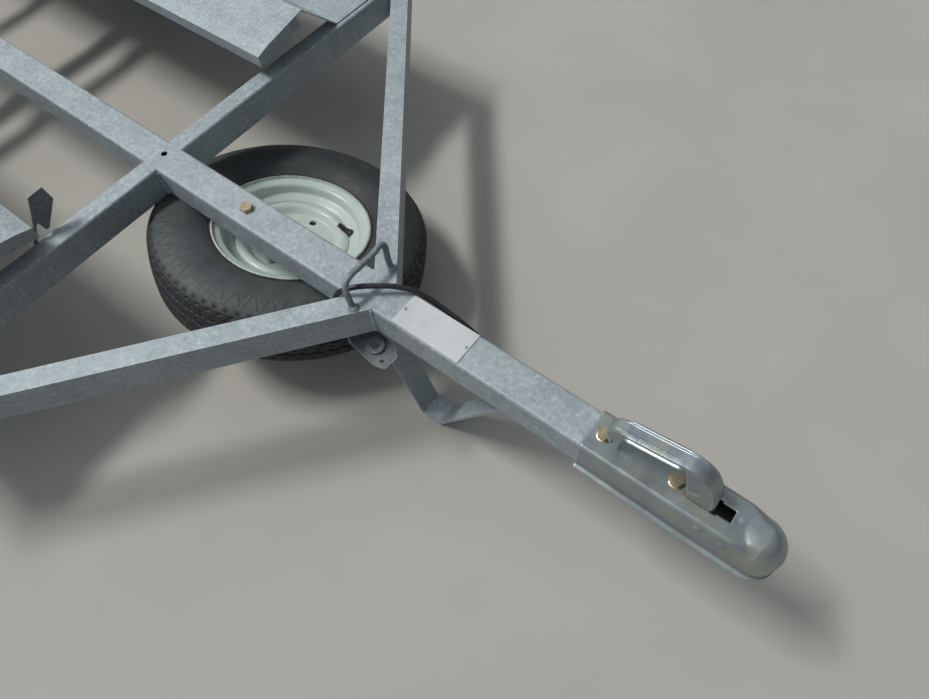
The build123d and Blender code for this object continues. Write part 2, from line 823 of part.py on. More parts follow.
# Rear board behind the rear cross-member, with its lamps
board_front_x = rear_x - board_thickness
board_middle_z = frame_top - board_height / 2
with BuildPart() as board:
    with Locations((rear_x - board_thickness / 2, 0, board_middle_z)):
        Box(board_thickness, 2 * board_half, board_height)
board.part.label = "lamp_board"
finished.append(board)

for side, name in ((1, "left"), (-1, "right")):
    with BuildPart() as lamp:
        with BuildSketch(Plane.YZ.offset(tail_x)):
            with Locations((side * (board_half - lamp_length / 2 - 10), board_middle_z)):
                RectangleRounded(lamp_length, lamp_height, 12)
        extrude(amount=board_front_x - tail_x)
    lamp.part.label = f"tail_lamp_{name}"
    finished.append(lamp)

# Blank number plate on the board, and round reflectors beside it
with BuildPart() as plate:
    with Locations((board_front_x - 1, 0, board_middle_z)):
        Box(2, plate_length, plate_height)
plate.part.label = "number_plate"
finished.append(plate)

# Side reflectors on the side members, front reflectors on the cross-member's ends
with BuildPart() as side_reflectors:
    for side in (1, -1):
        with BuildSketch(Plane.XZ.offset(-side * frame_half)):
            with Locations((reflector_x, tube_middle_z)):
                RectangleRounded(90, 34, 6)
        extrude(amount=-side * reflector_thickness)
side_reflectors.part.label = "side_reflectors"
finished.append(side_reflectors)

# Cable, its grommet, its plug and the plug's holder
with BuildPart() as grommet:
    with BuildSketch(Plane.XZ.offset(spine_half)):
        with Locations((cable_route[0][0], cable_route[0][2])):
            Circle(grommet_radius)
    extrude(amount=-spine_half - cable_route[0][1])
grommet.part.label = "cable_grommet"
finished.append(grommet)

cable_points = [Vector(*point) for point in cable_route]
cable_runs = [(b - a).length for a, b in zip(cable_points, cable_points[1:])]
cable_radii = []
for before, here, after in zip(cable_points, cable_points[1:], cable_points[2:]):
    turn = (here - before).get_angle(after - here)
    shorter = min((here - before).length, (after - here).length)
    cable_radii.append(0.45 * shorter / tan(radians(turn / 2)))
print("cable runs", [round(run) for run in cable_runs], "radii", [round(radius) for radius in cable_radii])
with BuildPart() as cable:
    with BuildLine() as cable_path:
        FilletPolyline(*cable_points, radius=cable_radii)
    with BuildSketch(Plane(origin=cable_points[0], z_dir=cable_points[1] - cable_points[0])):
        Circle(cable_radius)
    sweep(path=cable_path.wires()[0])
cable.part.label = "cable"
finished.append(cable)
cable_length = cable_path.wires()[0].length
print("cable length", round(cable_length), "volume ratio", round(cable.part.volume / (cable_length * 3.14159 * cable_radius**2), 4))

plug_x, plug_y, plug_z = cable_route[-1]
with BuildPart() as plug:
    with BuildSketch(Plane(origin=(plug_x, plug_y, plug_z), x_dir=(0, 0, 1), z_dir=(0, 1, 0))):
        with BuildLine():
            Polyline(
                (0, 0),
                (8, 0),
                (plug_radius - 4, 16),
                (plug_radius, 20),
                (plug_radius, plug_length),
                (0, plug_length),
                close=True,
            )
        make_face()
    revolve(axis=Axis((plug_x, plug_y, plug_z), (1, 0, 0)))
plug.part.label = "plug"
finished.append(plug)

holder_x = plug_x + 30
with BuildPart() as holder:
    with BuildSketch(Plane.YZ.offset(holder_x)):
        with Locations((plug_y, plug_z)):
            Circle(plug_radius + 4.3)
        with Locations((plug_y, (plug_z + frame_bottom) / 2)):
            Rectangle(26, frame_bottom - plug_z)
        with Locations((plug_y, plug_z)):
            Circle(plug_radius + 0.3, mode=Mode.SUBTRACT)
    extrude(amount=12)
holder.part.label = "plug_holder"
finished.append(holder)

for piece in finished:
    export_step(piece.part, f"parts/{piece.part.label}.step")
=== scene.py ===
import json
import math
from functools import partialmethod

import bmesh
import bpy
import numpy as np
from mathutils import Matrix, Vector


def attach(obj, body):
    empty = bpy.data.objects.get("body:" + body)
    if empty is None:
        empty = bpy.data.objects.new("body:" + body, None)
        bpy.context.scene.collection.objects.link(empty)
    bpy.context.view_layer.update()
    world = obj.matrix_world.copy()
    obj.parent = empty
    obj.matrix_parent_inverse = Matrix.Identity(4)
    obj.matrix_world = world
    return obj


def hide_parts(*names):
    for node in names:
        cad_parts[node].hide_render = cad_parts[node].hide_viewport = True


mm = 0.001
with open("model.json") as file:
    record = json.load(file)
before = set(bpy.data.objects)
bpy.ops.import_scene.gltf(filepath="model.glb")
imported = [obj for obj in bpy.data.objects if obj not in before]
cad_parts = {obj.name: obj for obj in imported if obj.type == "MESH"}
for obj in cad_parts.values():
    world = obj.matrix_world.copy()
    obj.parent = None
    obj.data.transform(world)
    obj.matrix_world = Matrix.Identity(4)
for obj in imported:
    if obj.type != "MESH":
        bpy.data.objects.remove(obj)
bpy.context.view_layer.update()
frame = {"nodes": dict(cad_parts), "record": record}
nodes = frame["nodes"]
scene = bpy.context.scene
print("frame loaded:", len(nodes), "nodes")


def clamp(values):
    return np.clip(values, 0, 1)


def addObject(name, data):
    made = bpy.data.objects.new(name, data)
    scene.collection.objects.link(made)
    return made


# Camera: above the right side of the drawbar, looking back and down at the apex
camera = {
    "spot": (1.3972, -0.3718, 1.1622),
    "heading": 132.612,  # degrees from +X
    "down": 59.545,
    "roll": -5.885,
    "lens": 26.778,
    "sensor": 36.0,
}


def placeCamera():
    level, down = math.radians(camera["heading"]), math.radians(camera["down"])
    look = Vector((math.cos(level) * math.cos(down), math.sin(level) * math.cos(down), -math.sin(down)))
    roll = Matrix.Rotation(math.radians(camera["roll"]), 3, "Z")
    turn = look.to_track_quat("-Z", "Y").to_matrix() @ roll
    data = bpy.data.cameras.new("camera")
    data.lens = camera["lens"]
    data.sensor_width = camera["sensor"]
    data.sensor_fit = "HORIZONTAL"
    data.clip_end = 60
    rig = addObject("camera", data)
    rig.matrix_world = Matrix.Translation(camera["spot"]) @ turn.to_4x4()
    scene.camera = rig


placeCamera()


# A node tree: every socket that is given a node's output is linked, every other value is set
class Tree:
    def __init__(self, nodeTree, owner):
        self.nodes, self.links, self.owner = nodeTree.nodes, nodeTree.links, owner

    def put(self, socket, value):
        if isinstance(value, bpy.types.NodeSocket):
            self.links.new(value, socket)
        elif isinstance(value, tuple) and socket.type == "RGBA":
            socket.default_value = (*value, 1)
        else:
            socket.default_value = value

    def node(self, kind, inputs=None, **settings):
        node = self.nodes.new("ShaderNode" + kind)
        for name, value in settings.items():
            setattr(node, name, value)
        for name, value in (inputs or {}).items():
            self.put(node.inputs[name], value)
        return node

    def calculate(self, operation, *values):
        return self.node("Math", dict(enumerate(values)), operation=operation).outputs[0]

    times = partialmethod(calculate, "MULTIPLY")
    plus = partialmethod(calculate, "ADD")
    minus = partialmethod(calculate, "SUBTRACT")

    def remap(self, value, low, high, newLow=0.0, newHigh=1.0):
        ends = {"From Min": low, "From Max": high, "To Min": newLow, "To Max": newHigh}
        return self.node("MapRange", {"Value": value, **ends}).outputs[0]

    def noise(self, place, scale, detail, rough=0.5, distortion=0.0):
        values = {"Vector": place, "Scale": scale, "Detail": detail}
        values.update({"Roughness": rough, "Distortion": distortion})
        return self.node("TexNoise", values).outputs["Fac"]

    def place(self, kind="Object"):
        return self.node("TexCoord").outputs[kind]

    def split(self, vector):
        return self.node("SeparateXYZ", {"Vector": vector}).outputs

    def use(self, group, **values):
        return self.node("Group", values, node_tree=group).outputs

    # Coats are pairs of a mask and a colour, each laid over the last
    def coat(self, colour, *coats):
        for amount, over in coats:
            colour = self.node("Mix", {0: amount, 6: colour, 7: over}, data_type="RGBA").outputs[2]
        return colour


# inputs gives each socket's default, or None for a vector, and build gives the masks put out
def newGroup(name, inputs, build):
    group = bpy.data.node_groups.new(name, "ShaderNodeTree")
    for label, default in inputs.items():
        kind = "NodeSocketVector" if default is None else "NodeSocketFloat"
        socket = group.interface.new_socket(label, in_out="INPUT", socket_type=kind)
        if default is not None:
            socket.default_value = default
    tree = Tree(group, group)
    masks = build(tree, tree.nodes.new("NodeGroupInput").outputs)
    for label in masks:
        group.interface.new_socket(label, in_out="OUTPUT", socket_type="NodeSocketFloat")
    end = tree.nodes.new("NodeGroupOutput").inputs
    for label, mask in masks.items():
        tree.put(end[label], mask)
    return group


# Soft cloudy patches, a fine grain and scattered specks, all from 0 to 1
def cloudMasks(tree, start):
    vector, scale = start["Vector"], start["Scale"]
    broad = tree.remap(tree.noise(vector, scale, 3.0, 0.55), 0.34, 0.68)
    cells = tree.node("TexVoronoi", {"Vector": vector, "Scale": tree.times(scale, 5.5)})
    dots = tree.node("TexVoronoi", {"Vector": vector, "Scale": start["Specks"]})
    tone = tree.node("SeparateColor", {"Color": cells.outputs["Color"]}).outputs[0]
    rare = tree.node("SeparateColor", {"Color": dots.outputs["Color"]}).outputs[1]
    dot = tree.remap(dots.outputs["Distance"], 0.13, 0.06)
    return {
        "Cloud": tree.plus(tree.times(broad, 0.72), tree.times(tone, 0.28)),
        "Grain": tree.noise(vector, tree.times(scale, 14.0), 4.0, 0.7),
        "Speck": tree.times(dot, tree.remap(rare, 0.93, 0.99)),
    }


# Where a surface turns within the given width: 1 on a sharp edge, broken up by noise
def edgeMask(tree, start):
    rounded = tree.node("Bevel", {"Radius": start["Width"]}, samples=4).outputs[0]
    true = tree.node("NewGeometry").outputs["True Normal"]
    agree = tree.node("VectorMath", {0: rounded, 1: true}, operation="DOT_PRODUCT").outputs["Value"]
    gaps = tree.remap(tree.noise(tree.place(), start["Gap Scale"], 3.0), 0.35, 0.6)
    kept = tree.minus(1.0, tree.times(start["Gaps"], gaps))
    return {"Edge": tree.times(tree.remap(agree, 0.99, 0.8), kept)}


# Fine lines drawn out along the first axis of the given vector, from 0 to 1
def scratchMask(tree, start):
    lengths = tree.node("CombineXYZ", {"X": 1.0, "Y": start["Stretch"], "Z": start["Stretch"]}).outputs[0]
    drawn = tree.node("VectorMath", {0: start["Vector"], 1: lengths}, operation="MULTIPLY").outputs[0]
    return {"Line": tree.remap(tree.noise(drawn, start["Density"], 2.0), 0.6, 0.68)}


cloudGroup = newGroup("cloudyMetal", {"Vector": None, "Scale": 20.0, "Specks": 260.0}, cloudMasks)
edgeGroup = newGroup("wornEdge", {"Width": 0.002, "Gap Scale": 90.0, "Gaps": 0.5}, edgeMask)
scratchGroup = newGroup("scratches", {"Vector": None, "Density": 60.0, "Stretch": 14.0}, scratchMask)


def startMaterial(name, scale=20.0, speckSize=260.0, **shaderValues):
    material = bpy.data.materials.new(name)
    material.use_nodes = True
    tree = Tree(material.node_tree, material)
    for label, value in shaderValues.items():
        tree.nodes["Principled BSDF"].inputs[label.replace("_", " ")].default_value = value
    place = tree.place()
    cloud = tree.use(cloudGroup, Vector=place, Scale=scale, Specks=speckSize)
    return tree, place, cloud["Cloud"], cloud["Grain"], cloud["Speck"]


def wornEdge(tree, width, gapScale, gaps):
    return tree.use(edgeGroup, Width=width, **{"Gap Scale": gapScale, "Gaps": gaps})["Edge"]


def finishMaterial(tree, colour, rough, height=None, strength=0.3, distance=0.001):
    shader = tree.nodes["Principled BSDF"].inputs
    tree.put(shader["Base Color"], colour)
    tree.put(shader["Roughness"], rough)
    if height is not None:
        bump = tree.node("Bump", {"Strength": strength, "Distance": distance, "Height": height})
        tree.put(shader["Normal"], bump.outputs[0])
    return tree.owner


# Hot-dip galvanised steel: blue-grey, in soft patches over broad clouds, with pale edges
steel = {
    "tones": ((0.335, 0.385, 0.41), (0.44, 0.495, 0.52)),
    "patch": (0.56, 0.605, 0.625),
    "stain": (0.25, 0.29, 0.31),
    "edge": (0.66, 0.70, 0.72),
    "speck": (0.07, 0.075, 0.075),
    "cloudScale": 11.0,
    "patchScale": 150.0,
    "areaScale": 28.0,
    "speckSize": 52.0,
    "edgeWidth": 0.0026,
    "metal": 0.3,
}


# A tone below 1 makes a darker copy of this steel, used as painted shade on the brackets
def makeGalvanised(name="galvanised", tone=1.0):
    colours = (*steel["tones"], steel["patch"], steel["stain"])
    dark, light, patch, stain = (tuple(tone * c for c in colour) for colour in colours)
    tree, place, cloud, grain, speck = startMaterial(
        name, steel["cloudScale"], steel["speckSize"], Metallic=steel["metal"]
    )
    soft = tree.noise(place, steel["patchScale"], 4.0, 0.6)
    area = tree.noise(place, steel["areaScale"], 3.0, 0.6)
    colour = tree.coat(
        dark,
        (cloud, light),
        (tree.times(tree.remap(soft, 0.46, 0.66), tree.remap(area, 0.38, 0.62, 0.3, 0.95)), patch),
        (tree.times(tree.remap(soft, 0.46, 0.3), tree.remap(area, 0.6, 0.4, 0.1, 0.8)), stain),
        (tree.times(wornEdge(tree, steel["edgeWidth"], 60.0, 0.6), 0.75), steel["edge"]),
        (tree.times(speck, 0.7), steel["speck"]),
    )
    rough = tree.plus(tree.remap(soft, 0.35, 0.65, 0.56, 0.66), tree.remap(grain, 0.3, 0.7, -0.05, 0.07))
    return finishMaterial(tree, colour, rough, tree.plus(tree.times(grain, 0.4), soft), 0.3, 0.0007)


# Zinc-plated steel: smoother, with a faint yellow and blue film
zinc = {
    "tones": ((0.27, 0.31, 0.325), (0.39, 0.435, 0.445)),
    "yellow": (0.42, 0.415, 0.32),
    "blue": (0.25, 0.285, 0.40),
    "edge": (0.66, 0.69, 0.70),
    "speck": (0.09, 0.09, 0.09),
    "filmScale": 14.0,
    "edgeWidth": 0.0012,
    "metal": 0.6,
}


def makeZinc():
    tree, place, cloud, grain, speck = startMaterial("zinc", 26.0, 210.0, Metallic=zinc["metal"])
    film = tree.noise(place, zinc["filmScale"], 3.0, distortion=0.6)
    colour = tree.coat(
        zinc["tones"][0],
        (cloud, zinc["tones"][1]),
        (tree.remap(film, 0.5, 0.68, 0.0, 0.6), zinc["yellow"]),
        (tree.remap(film, 0.46, 0.3, 0.0, 0.65), zinc["blue"]),
        (tree.times(wornEdge(tree, zinc["edgeWidth"], 110.0, 0.6), 0.5), zinc["edge"]),
        (tree.times(speck, 0.55), zinc["speck"]),
    )
    rough = tree.plus(tree.remap(cloud, 0.0, 1.0, 0.29, 0.43), tree.remap(grain, 0.3, 0.7, -0.04, 0.06))
    return finishMaterial(tree, colour, rough, grain, 0.12, 0.0004)


# Rubber with a film of dust. A tyre has short lines round its shoulder and less dust on its
# tread, and the spare has less towards its left side, where the darker rubber is painted shade.
rubber = {"black": (0.014, 0.014, 0.016), "dust": (0.105, 0.122, 0.122), "scuff": (0.2, 0.205, 0.2)}
tyreMarks = {"count": 96.0, "radius": 0.221, "half": 0.012, "slant": 0.34, "tread": (0.2365, 0.2425)}


# The UV's x is the turn and its y the radius. The lines lean one way and the other in turn.
def shoulderLines(tree, place, marks):
    turn, radius = (tree.split(tree.place("UV"))[k] for k in ("X", "Y"))
    count = tree.times(turn, marks["count"])
    half = tree.calculate("FRACT", tree.times(count, 0.5))
    way = tree.calculate("SIGN", tree.minus(half, 0.5))
    reach = tree.calculate("DIVIDE", tree.minus(radius, marks["radius"]), marks["half"])
    middle = tree.calculate("MULTIPLY_ADD", tree.times(reach, way), marks["slant"], 0.5)
    away = tree.calculate("ABSOLUTE", tree.minus(tree.calculate("FRACT", count), middle))
    inside = tree.calculate("LESS_THAN", tree.calculate("ABSOLUTE", reach), 1.0)
    patches = tree.remap(tree.noise(place, 9.0, 2.0), 0.36, 0.5, 0.3, 1.0)
    line = tree.times(tree.times(tree.remap(away, 0.075, 0.03), inside), patches)
    return line, tree.remap(radius, *marks["tread"], 1.0, 0.22)


def makeRubber(name, dust, low=0.5, high=0.72, scale=11.0, marks=None, paintedShadeFade=None):
    tree, place, cloud, grain, speck = startMaterial(name, scale, 60.0)
    scratch = tree.use(scratchGroup, Vector=place, Density=16.0, Stretch=5.0)["Line"]
    dusty = tree.times(tree.remap(cloud, 0.15, 0.75, 0.6, 1.0), dust)
    # Thinning the dust along Y paints shade on the spare's left side
    if paintedShadeFade:
        dusty = tree.times(dusty, tree.remap(tree.split(place)["Y"], *paintedShadeFade))
    line = 0.0
    if marks:
        line, dustKept = shoulderLines(tree, place, marks)
        dusty = tree.times(dusty, dustKept)
    colour = tree.coat(
        rubber["black"],
        (dusty, rubber["dust"]),
        (tree.times(scratch, dust * 0.12), rubber["scuff"]),
        (tree.times(speck, dust * 0.6), rubber["black"]),
        (line, rubber["black"]),
    )
    return finishMaterial(tree, colour, tree.remap(grain, 0.3, 0.7, low, high), grain, 0.3, 0.0005)


# Pale mint paint, chipped and rusty along the flange's edge
rimPaint = {
    "tones": ((0.55, 0.635, 0.58), (0.63, 0.71, 0.66)),
    "rust": (0.10, 0.055, 0.032),
    "primer": (0.30, 0.27, 0.22),
    "chipScale": 120.0,
    "wearScale": 7.0,
    "edgeWidth": 0.0035,
}


def makeRimPaint():
    tree, place, cloud, grain, speck = startMaterial(
        "rimPaint", 12.0, 190.0, Coat_Weight=0.25, Coat_Roughness=0.2
    )
    edge = wornEdge(tree, rimPaint["edgeWidth"], 140.0, 1.0)
    chips = tree.noise(place, rimPaint["chipScale"], 5.0, 0.65)
    worn = tree.calculate("MULTIPLY_ADD", tree.noise(place, rimPaint["wearScale"], 2.0), 0.35, chips)
    chip = tree.times(edge, tree.remap(worn, 0.655, 0.7))
    colour = tree.coat(
        rimPaint["tones"][0],
        (cloud, rimPaint["tones"][1]),
        (tree.times(edge, 0.25), rimPaint["primer"]),
        (chip, rimPaint["rust"]),
        (tree.times(speck, 0.7), rimPaint["rust"]),
    )
    rough = tree.plus(tree.remap(grain, 0.3, 0.7, 0.32, 0.46), tree.times(chip, 0.35))
    return finishMaterial(tree, colour, rough, tree.minus(tree.times(grain, 0.25), chip), 0.35, 0.0006)


# Plain looks: two tones, the lowest and highest roughness, the clouds' scale, the bump, a worn
# edge's colour, its width, gaps' scale and gaps, the grain's depth and the metal
plainLooks = {
    "yellow_zinc": (
        (0.40, 0.32, 0.17), (0.64, 0.57, 0.40), 0.28, 0.45, 90.0, 0.15,
        (0.82, 0.78, 0.66), (0.0009, 300.0, 0.4), 0.0003, 0.75,
    ),
    "hub_paint": ((0.018, 0.018, 0.02), (0.035, 0.035, 0.038), 0.4, 0.55, 30.0, 0.2, (0.2, 0.12, 0.08)),
    "black_plastic": ((0.02, 0.02, 0.022), (0.035, 0.035, 0.037), 0.42, 0.6, 60.0, 0.3),
    "lamp_lens": ((0.40, 0.012, 0.012), (0.52, 0.025, 0.02), 0.08, 0.16, 40.0, 0.05),
    "amber_lens": ((0.72, 0.20, 0.015), (0.85, 0.30, 0.03), 0.1, 0.18, 60.0, 0.05),
    "rusty_bead": ((0.012, 0.011, 0.011), (0.085, 0.05, 0.03), 0.6, 0.85, 75.0, 0.5),
    # Near black: painted shade inside the coupler's slot
    "painted_slot_shade": ((0.012, 0.012, 0.013), (0.03, 0.029, 0.028), 0.45, 0.65, 80.0, 0.3),
    "white_plate": ((0.60, 0.63, 0.63), (0.71, 0.73, 0.725), 0.3, 0.4, 25.0, 0.06, (0.35, 0.36, 0.36)),
}


def makePlain(
    name, dark, light, low, high, scale, bump,
    wear=None, edge=(0.0012, 130.0, 0.8), depth=0.0004, metal=0.0,
):
    tree, place, cloud, grain, speck = startMaterial(name, scale, Metallic=metal)
    colour = tree.coat(dark, (cloud, light))
    if wear:
        colour = tree.coat(colour, (tree.times(wornEdge(tree, *edge), 0.7), wear))
    return finishMaterial(tree, colour, tree.remap(grain, 0.3, 0.7, low, high), grain, bump, depth)


materials = {
    "galvanised": makeGalvanised(),
    "zinc": makeZinc(),
    "tyre": makeRubber("tyre", 0.8, marks=tyreMarks),
    # The spare's darker left side is painted shade
    "spare_tyre": makeRubber("spare_tyre", 0.8, marks=tyreMarks, paintedShadeFade=(-0.04, 0.2, 1.1, 0.3)),
    "rim_paint": makeRimPaint(),
    "cable_rubber": makeRubber("cable_rubber", 0.12, 0.3, 0.42, 40.0),
    # Darker copies of the galvanised steel, which paint shade on the brackets
    "darker_galvanised": makeGalvanised("darker_galvanised", 0.62),
    "painted_shade_galvanised": makeGalvanised("painted_shade_galvanised", 0.42),
    **{name: makePlain(name, *look) for name, look in plainLooks.items()},
}
slotOf = {part["node"]: part["material_slot"] for part in frame["record"]["subparts"]}
bodyOf = {name: body for body, names in frame["record"]["behaviour"]["bodies"].items() for name in names}
# The apex and upright brackets get darker steel as painted shade; the rope loop gets the same darker
# steel
ownLook = {
    "apex_bracket": "painted_shade_galvanised", "upright_bracket": "darker_galvanised",
    "rope_loop": "darker_galvanised", "tyre_spare": "spare_tyre",
}
for name, node in nodes.items():
    node.data.materials.clear()
    node.data.materials.append(materials[ownLook.get(name, slotOf[name])])
print("materials:", len(materials))


# A piece has the body and the look of the node that it replaces, or else those given
def finishPiece(piece, slot, replaced=None, look=None, body="chassis"):
    piece.data.materials.append(materials[look or ownLook.get(replaced, slot)])
    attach(piece, bodyOf.get(replaced, body))
    if replaced:
        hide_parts(replaced)


def smoothMesh(mesh, sharp=None):
    mesh.polygons.foreach_set("use_smooth", np.ones(len(mesh.polygons), dtype=bool))
    if sharp:
        mesh.set_sharp_from_angle(angle=math.radians(sharp))


# A mesh over a grid of points, wrapped round where asked, without the faces where keep is False.
# uv has a value for each column and one for each row, with one more at the seam.
def makeSurface(name, points, closeAround=False, closeAcross=False, keep=None, uv=None, sharp=None):
    rows, columns = points.shape[:2]
    r = np.arange(rows if closeAround else rows - 1)
    c = np.arange(columns if closeAcross else columns - 1)
    r0, c0 = (a.ravel() for a in np.meshgrid(r, c, indexing="ij"))
    if keep is not None:
        chosen = keep[r0, c0]
        r0, c0 = r0[chosen], c0[chosen]
    r1, c1 = (r0 + 1) % rows, (c0 + 1) % columns
    faces = np.stack([r0 * columns + c0, r1 * columns + c0, r1 * columns + c1, r0 * columns + c1], 1)
    mesh = bpy.data.meshes.new(name)
    mesh.vertices.add(rows * columns)
    mesh.vertices.foreach_set("co", points.astype(np.float32).ravel())
    mesh.loops.add(faces.size)
    mesh.loops.foreach_set("vertex_index", faces.astype(np.int32).ravel())
    mesh.polygons.add(len(faces))
    mesh.polygons.foreach_set("loop_start", np.arange(0, faces.size, 4, dtype=np.int32))
    mesh.update(calc_edges=True)
    if uv is not None:
        across, along = uv
        rowStep = np.stack([r0, r0 + 1, r0 + 1, r0], 1)
        columnStep = np.stack([c0, c0, c1, c1], 1)
        places = np.stack([along[rowStep], across[columnStep]], -1)
        mesh.uv_layers.new(name="surface").data.foreach_set("uv", places.astype(np.float32).ravel())
    shell = bmesh.new()
    shell.from_mesh(mesh)
    bmesh.ops.remove_doubles(shell, verts=shell.verts, dist=1e-6)
    bmesh.ops.dissolve_degenerate(shell, dist=1e-7, edges=shell.edges)
    bmesh.ops.recalc_face_normals(shell, faces=shell.faces)
    shell.to_mesh(mesh)
    shell.free()
    smoothMesh(mesh, sharp)
    return addObject(name, mesh)


def circle(steps):
    return np.linspace(0, 2 * np.pi, steps, endpoint=False)[:, None]


def unit(vector):
    return np.asarray(vector, float) / np.linalg.norm(vector)


# Three unit vectors: start made square to the axis, the third and the axis
def frameOf(axis, start):
    axis = unit(axis)
    start = np.array(start, float)
    start = unit(start - axis * np.dot(start, axis))
    return start, np.cross(axis, start), axis


# A profile of (radius, height) points turned about an axis, with wave's two grids added to it
def turnProfile(name, profile, centre, axis, start=(1, 0, 0), steps=96, wave=(0, 0), uv=None, sharp=0):
    profile = np.asarray(profile, float)
    side, other, up = frameOf(axis, start)
    angle = circle(steps)
    radius, height = (profile[None, :, k] + 0 * angle + wave[k] for k in (0, 1))
    outward = np.cos(angle)[..., None] * side + np.sin(angle)[..., None] * other
    points = np.asarray(centre) + radius[..., None] * outward + height[..., None] * up
    return makeSurface(name, points, closeAround=True, uv=uv, sharp=sharp)


# A smooth-shaded copy of a CAD node
def smoothCopy(name, sharp):
    mesh = bpy.data.meshes.new(name + "_smooth")
    shell = bmesh.new()
    shell.from_mesh(nodes[name].data)
    bmesh.ops.remove_doubles(shell, verts=shell.verts, dist=2e-6)
    shell.to_mesh(mesh)
    shell.free()
    smoothMesh(mesh, sharp)
    finishPiece(addObject(name + "_smooth", mesh), slotOf[name], name)


# One object from several
def joinPieces(name, pieces):
    shell = bmesh.new()
    for piece in pieces:
        shell.from_mesh(piece.data)
        bpy.data.objects.remove(piece)
    mesh = bpy.data.meshes.new(name)
    shell.to_mesh(mesh)
    shell.free()
    return addObject(name, mesh)


def thicken(piece, thickness, offset=-1):
    sheet = piece.modifiers.new("sheet", "SOLIDIFY")
    sheet.thickness = thickness
    sheet.offset = offset


# Cable: out of the corner of the spine and the right diagonal, over the spine, down its left side
# and into the plug under it
cable = {
    "diameter": 8.5 * mm,
    "length": 0.479,
    "route": (
        (0.826, -0.037, 0.266), (0.826, -0.049, 0.266), (0.830, -0.055, 0.277),
        (0.837, -0.044, 0.296), (0.843, -0.038, 0.315), (0.856, -0.031, 0.326),
        (0.872, -0.016, 0.329), (0.888, -0.003, 0.328), (0.914, 0.017, 0.326),
        (0.945, 0.034, 0.316), (0.979, 0.041, 0.298), (1.021, 0.043, 0.284),
        (1.064, 0.045, 0.260), (1.104, 0.046, 0.242), (1.138, 0.043, 0.231),
        (1.155, 0.033, 0.2285), (1.171, 0.0225, 0.2275), (1.187, 0.0155, 0.2275),
        (1.202, 0.015, 0.2275),
    ),
}


def makeCable():
    curve = bpy.data.curves.new("cableLine", "CURVE")
    curve.dimensions = "3D"
    curve.bevel_depth = cable["diameter"] / 2
    curve.bevel_resolution = 8
    curve.resolution_u = 10
    spline = curve.splines.new("NURBS")
    spline.points.add(len(cable["route"]) - 1)
    for point, place in zip(spline.points, cable["route"]):
        point.co = (*place, 1)
    spline.order_u = 3
    spline.use_endpoint_u = True
    line = addObject("cableLine", curve)
    finishPiece(line, "cable_rubber", "cable")


makeCable()
print("cable laid")

# Tyres: raised rings (radius, width and rise in mm) on the sidewalls, and a crown with zigzag
# grooves and rows of oval pits, so many mm from the middle
tyre = {
    "radius": 253 * mm,
    "half": 66 * mm,
    "flange": 144 * mm,
    "bead": 128 * mm,
    "beadHalf": 38 * mm,
    "belly": 189.8 * mm,
    "rings": ((150, 2.2, 1.6), (158, 1.2, 0.8), (181, 0.9, 0.5), (186, 0.9, 0.5), (232, 1.6, 0.9)),
    "grooves": (-24, 0, 24),
    "grooveWidth": 3.2,
    "grooveSide": 1.4,
    "grooveDepth": 5.5,
    "zigzag": 2.6,
    "zigzagCount": 66,
    "pits": (-53, -45, -35, -12, 12, 35, 45, 53),
    "pitCount": 72,
    "pitHalf": (5.2, 2.6),
    "pitSlant": 0.18,
    "pitDepth": 3.4,
    "crown": (14 * mm, 58),  # its depth below the full radius, and its half width in mm
    "airSide": 19,  # the profile's points from the inner bead back to the first
    "steps": 576,
}


# The arc through three points, whose centre is where the chords' bisectors meet
def throughArc(start, middle, end, steps):
    a, b, c = (np.array(p, float) for p in (start, middle, end))
    squares = [np.dot(b, b) - np.dot(a, a), np.dot(c, c) - np.dot(b, b)]
    centre = np.linalg.solve(2 * np.array([b - a, c - b]), squares)
    angles = np.unwrap([math.atan2(*(p - centre)[::-1]) for p in (a, b, c)])
    sweep = np.linspace(angles[0], angles[2], steps)
    return centre + np.linalg.norm(a - centre) * np.stack([np.cos(sweep), np.sin(sweep)], 1)


# (radius, height) from the outer bead over the crown to the inner bead, and the air side back
def tyreProfile():
    top, half, flange = tyre["radius"], tyre["half"], tyre["flange"]
    bead, beadHalf, belly = tyre["bead"], tyre["beadHalf"], tyre["belly"]
    wallTop = (top - 12 * mm, half - 14 * mm)
    wall = throughArc((flange + 1 * mm, beadHalf + 4.2 * mm), (belly, half), wallTop, 34)
    shoulder = throughArc(wall[-1], (top - 5 * mm, half - 20 * mm), (top - 2 * mm, half - 30 * mm), 20)
    crown = throughArc(shoulder[-1], (top, 0), (top - 2 * mm, 30 * mm - half), 64)
    foot = [(bead, beadHalf - 12 * mm), (bead, beadHalf - 5 * mm), (bead + 3 * mm, beadHalf)]
    rim = (bead + 12 * mm, beadHalf - 10 * mm)
    inner = throughArc(rim, (belly, half - 10 * mm), (top - 16 * mm, half - 36 * mm), 8)
    mirror = np.array([1, -1])
    outer = [foot, wall, shoulder[1:], crown[1:-1], shoulder[::-1] * mirror, wall[-2::-1] * mirror]
    return np.concatenate([*outer, foot[::-1] * mirror, inner * mirror, inner[::-1], foot[:1]])


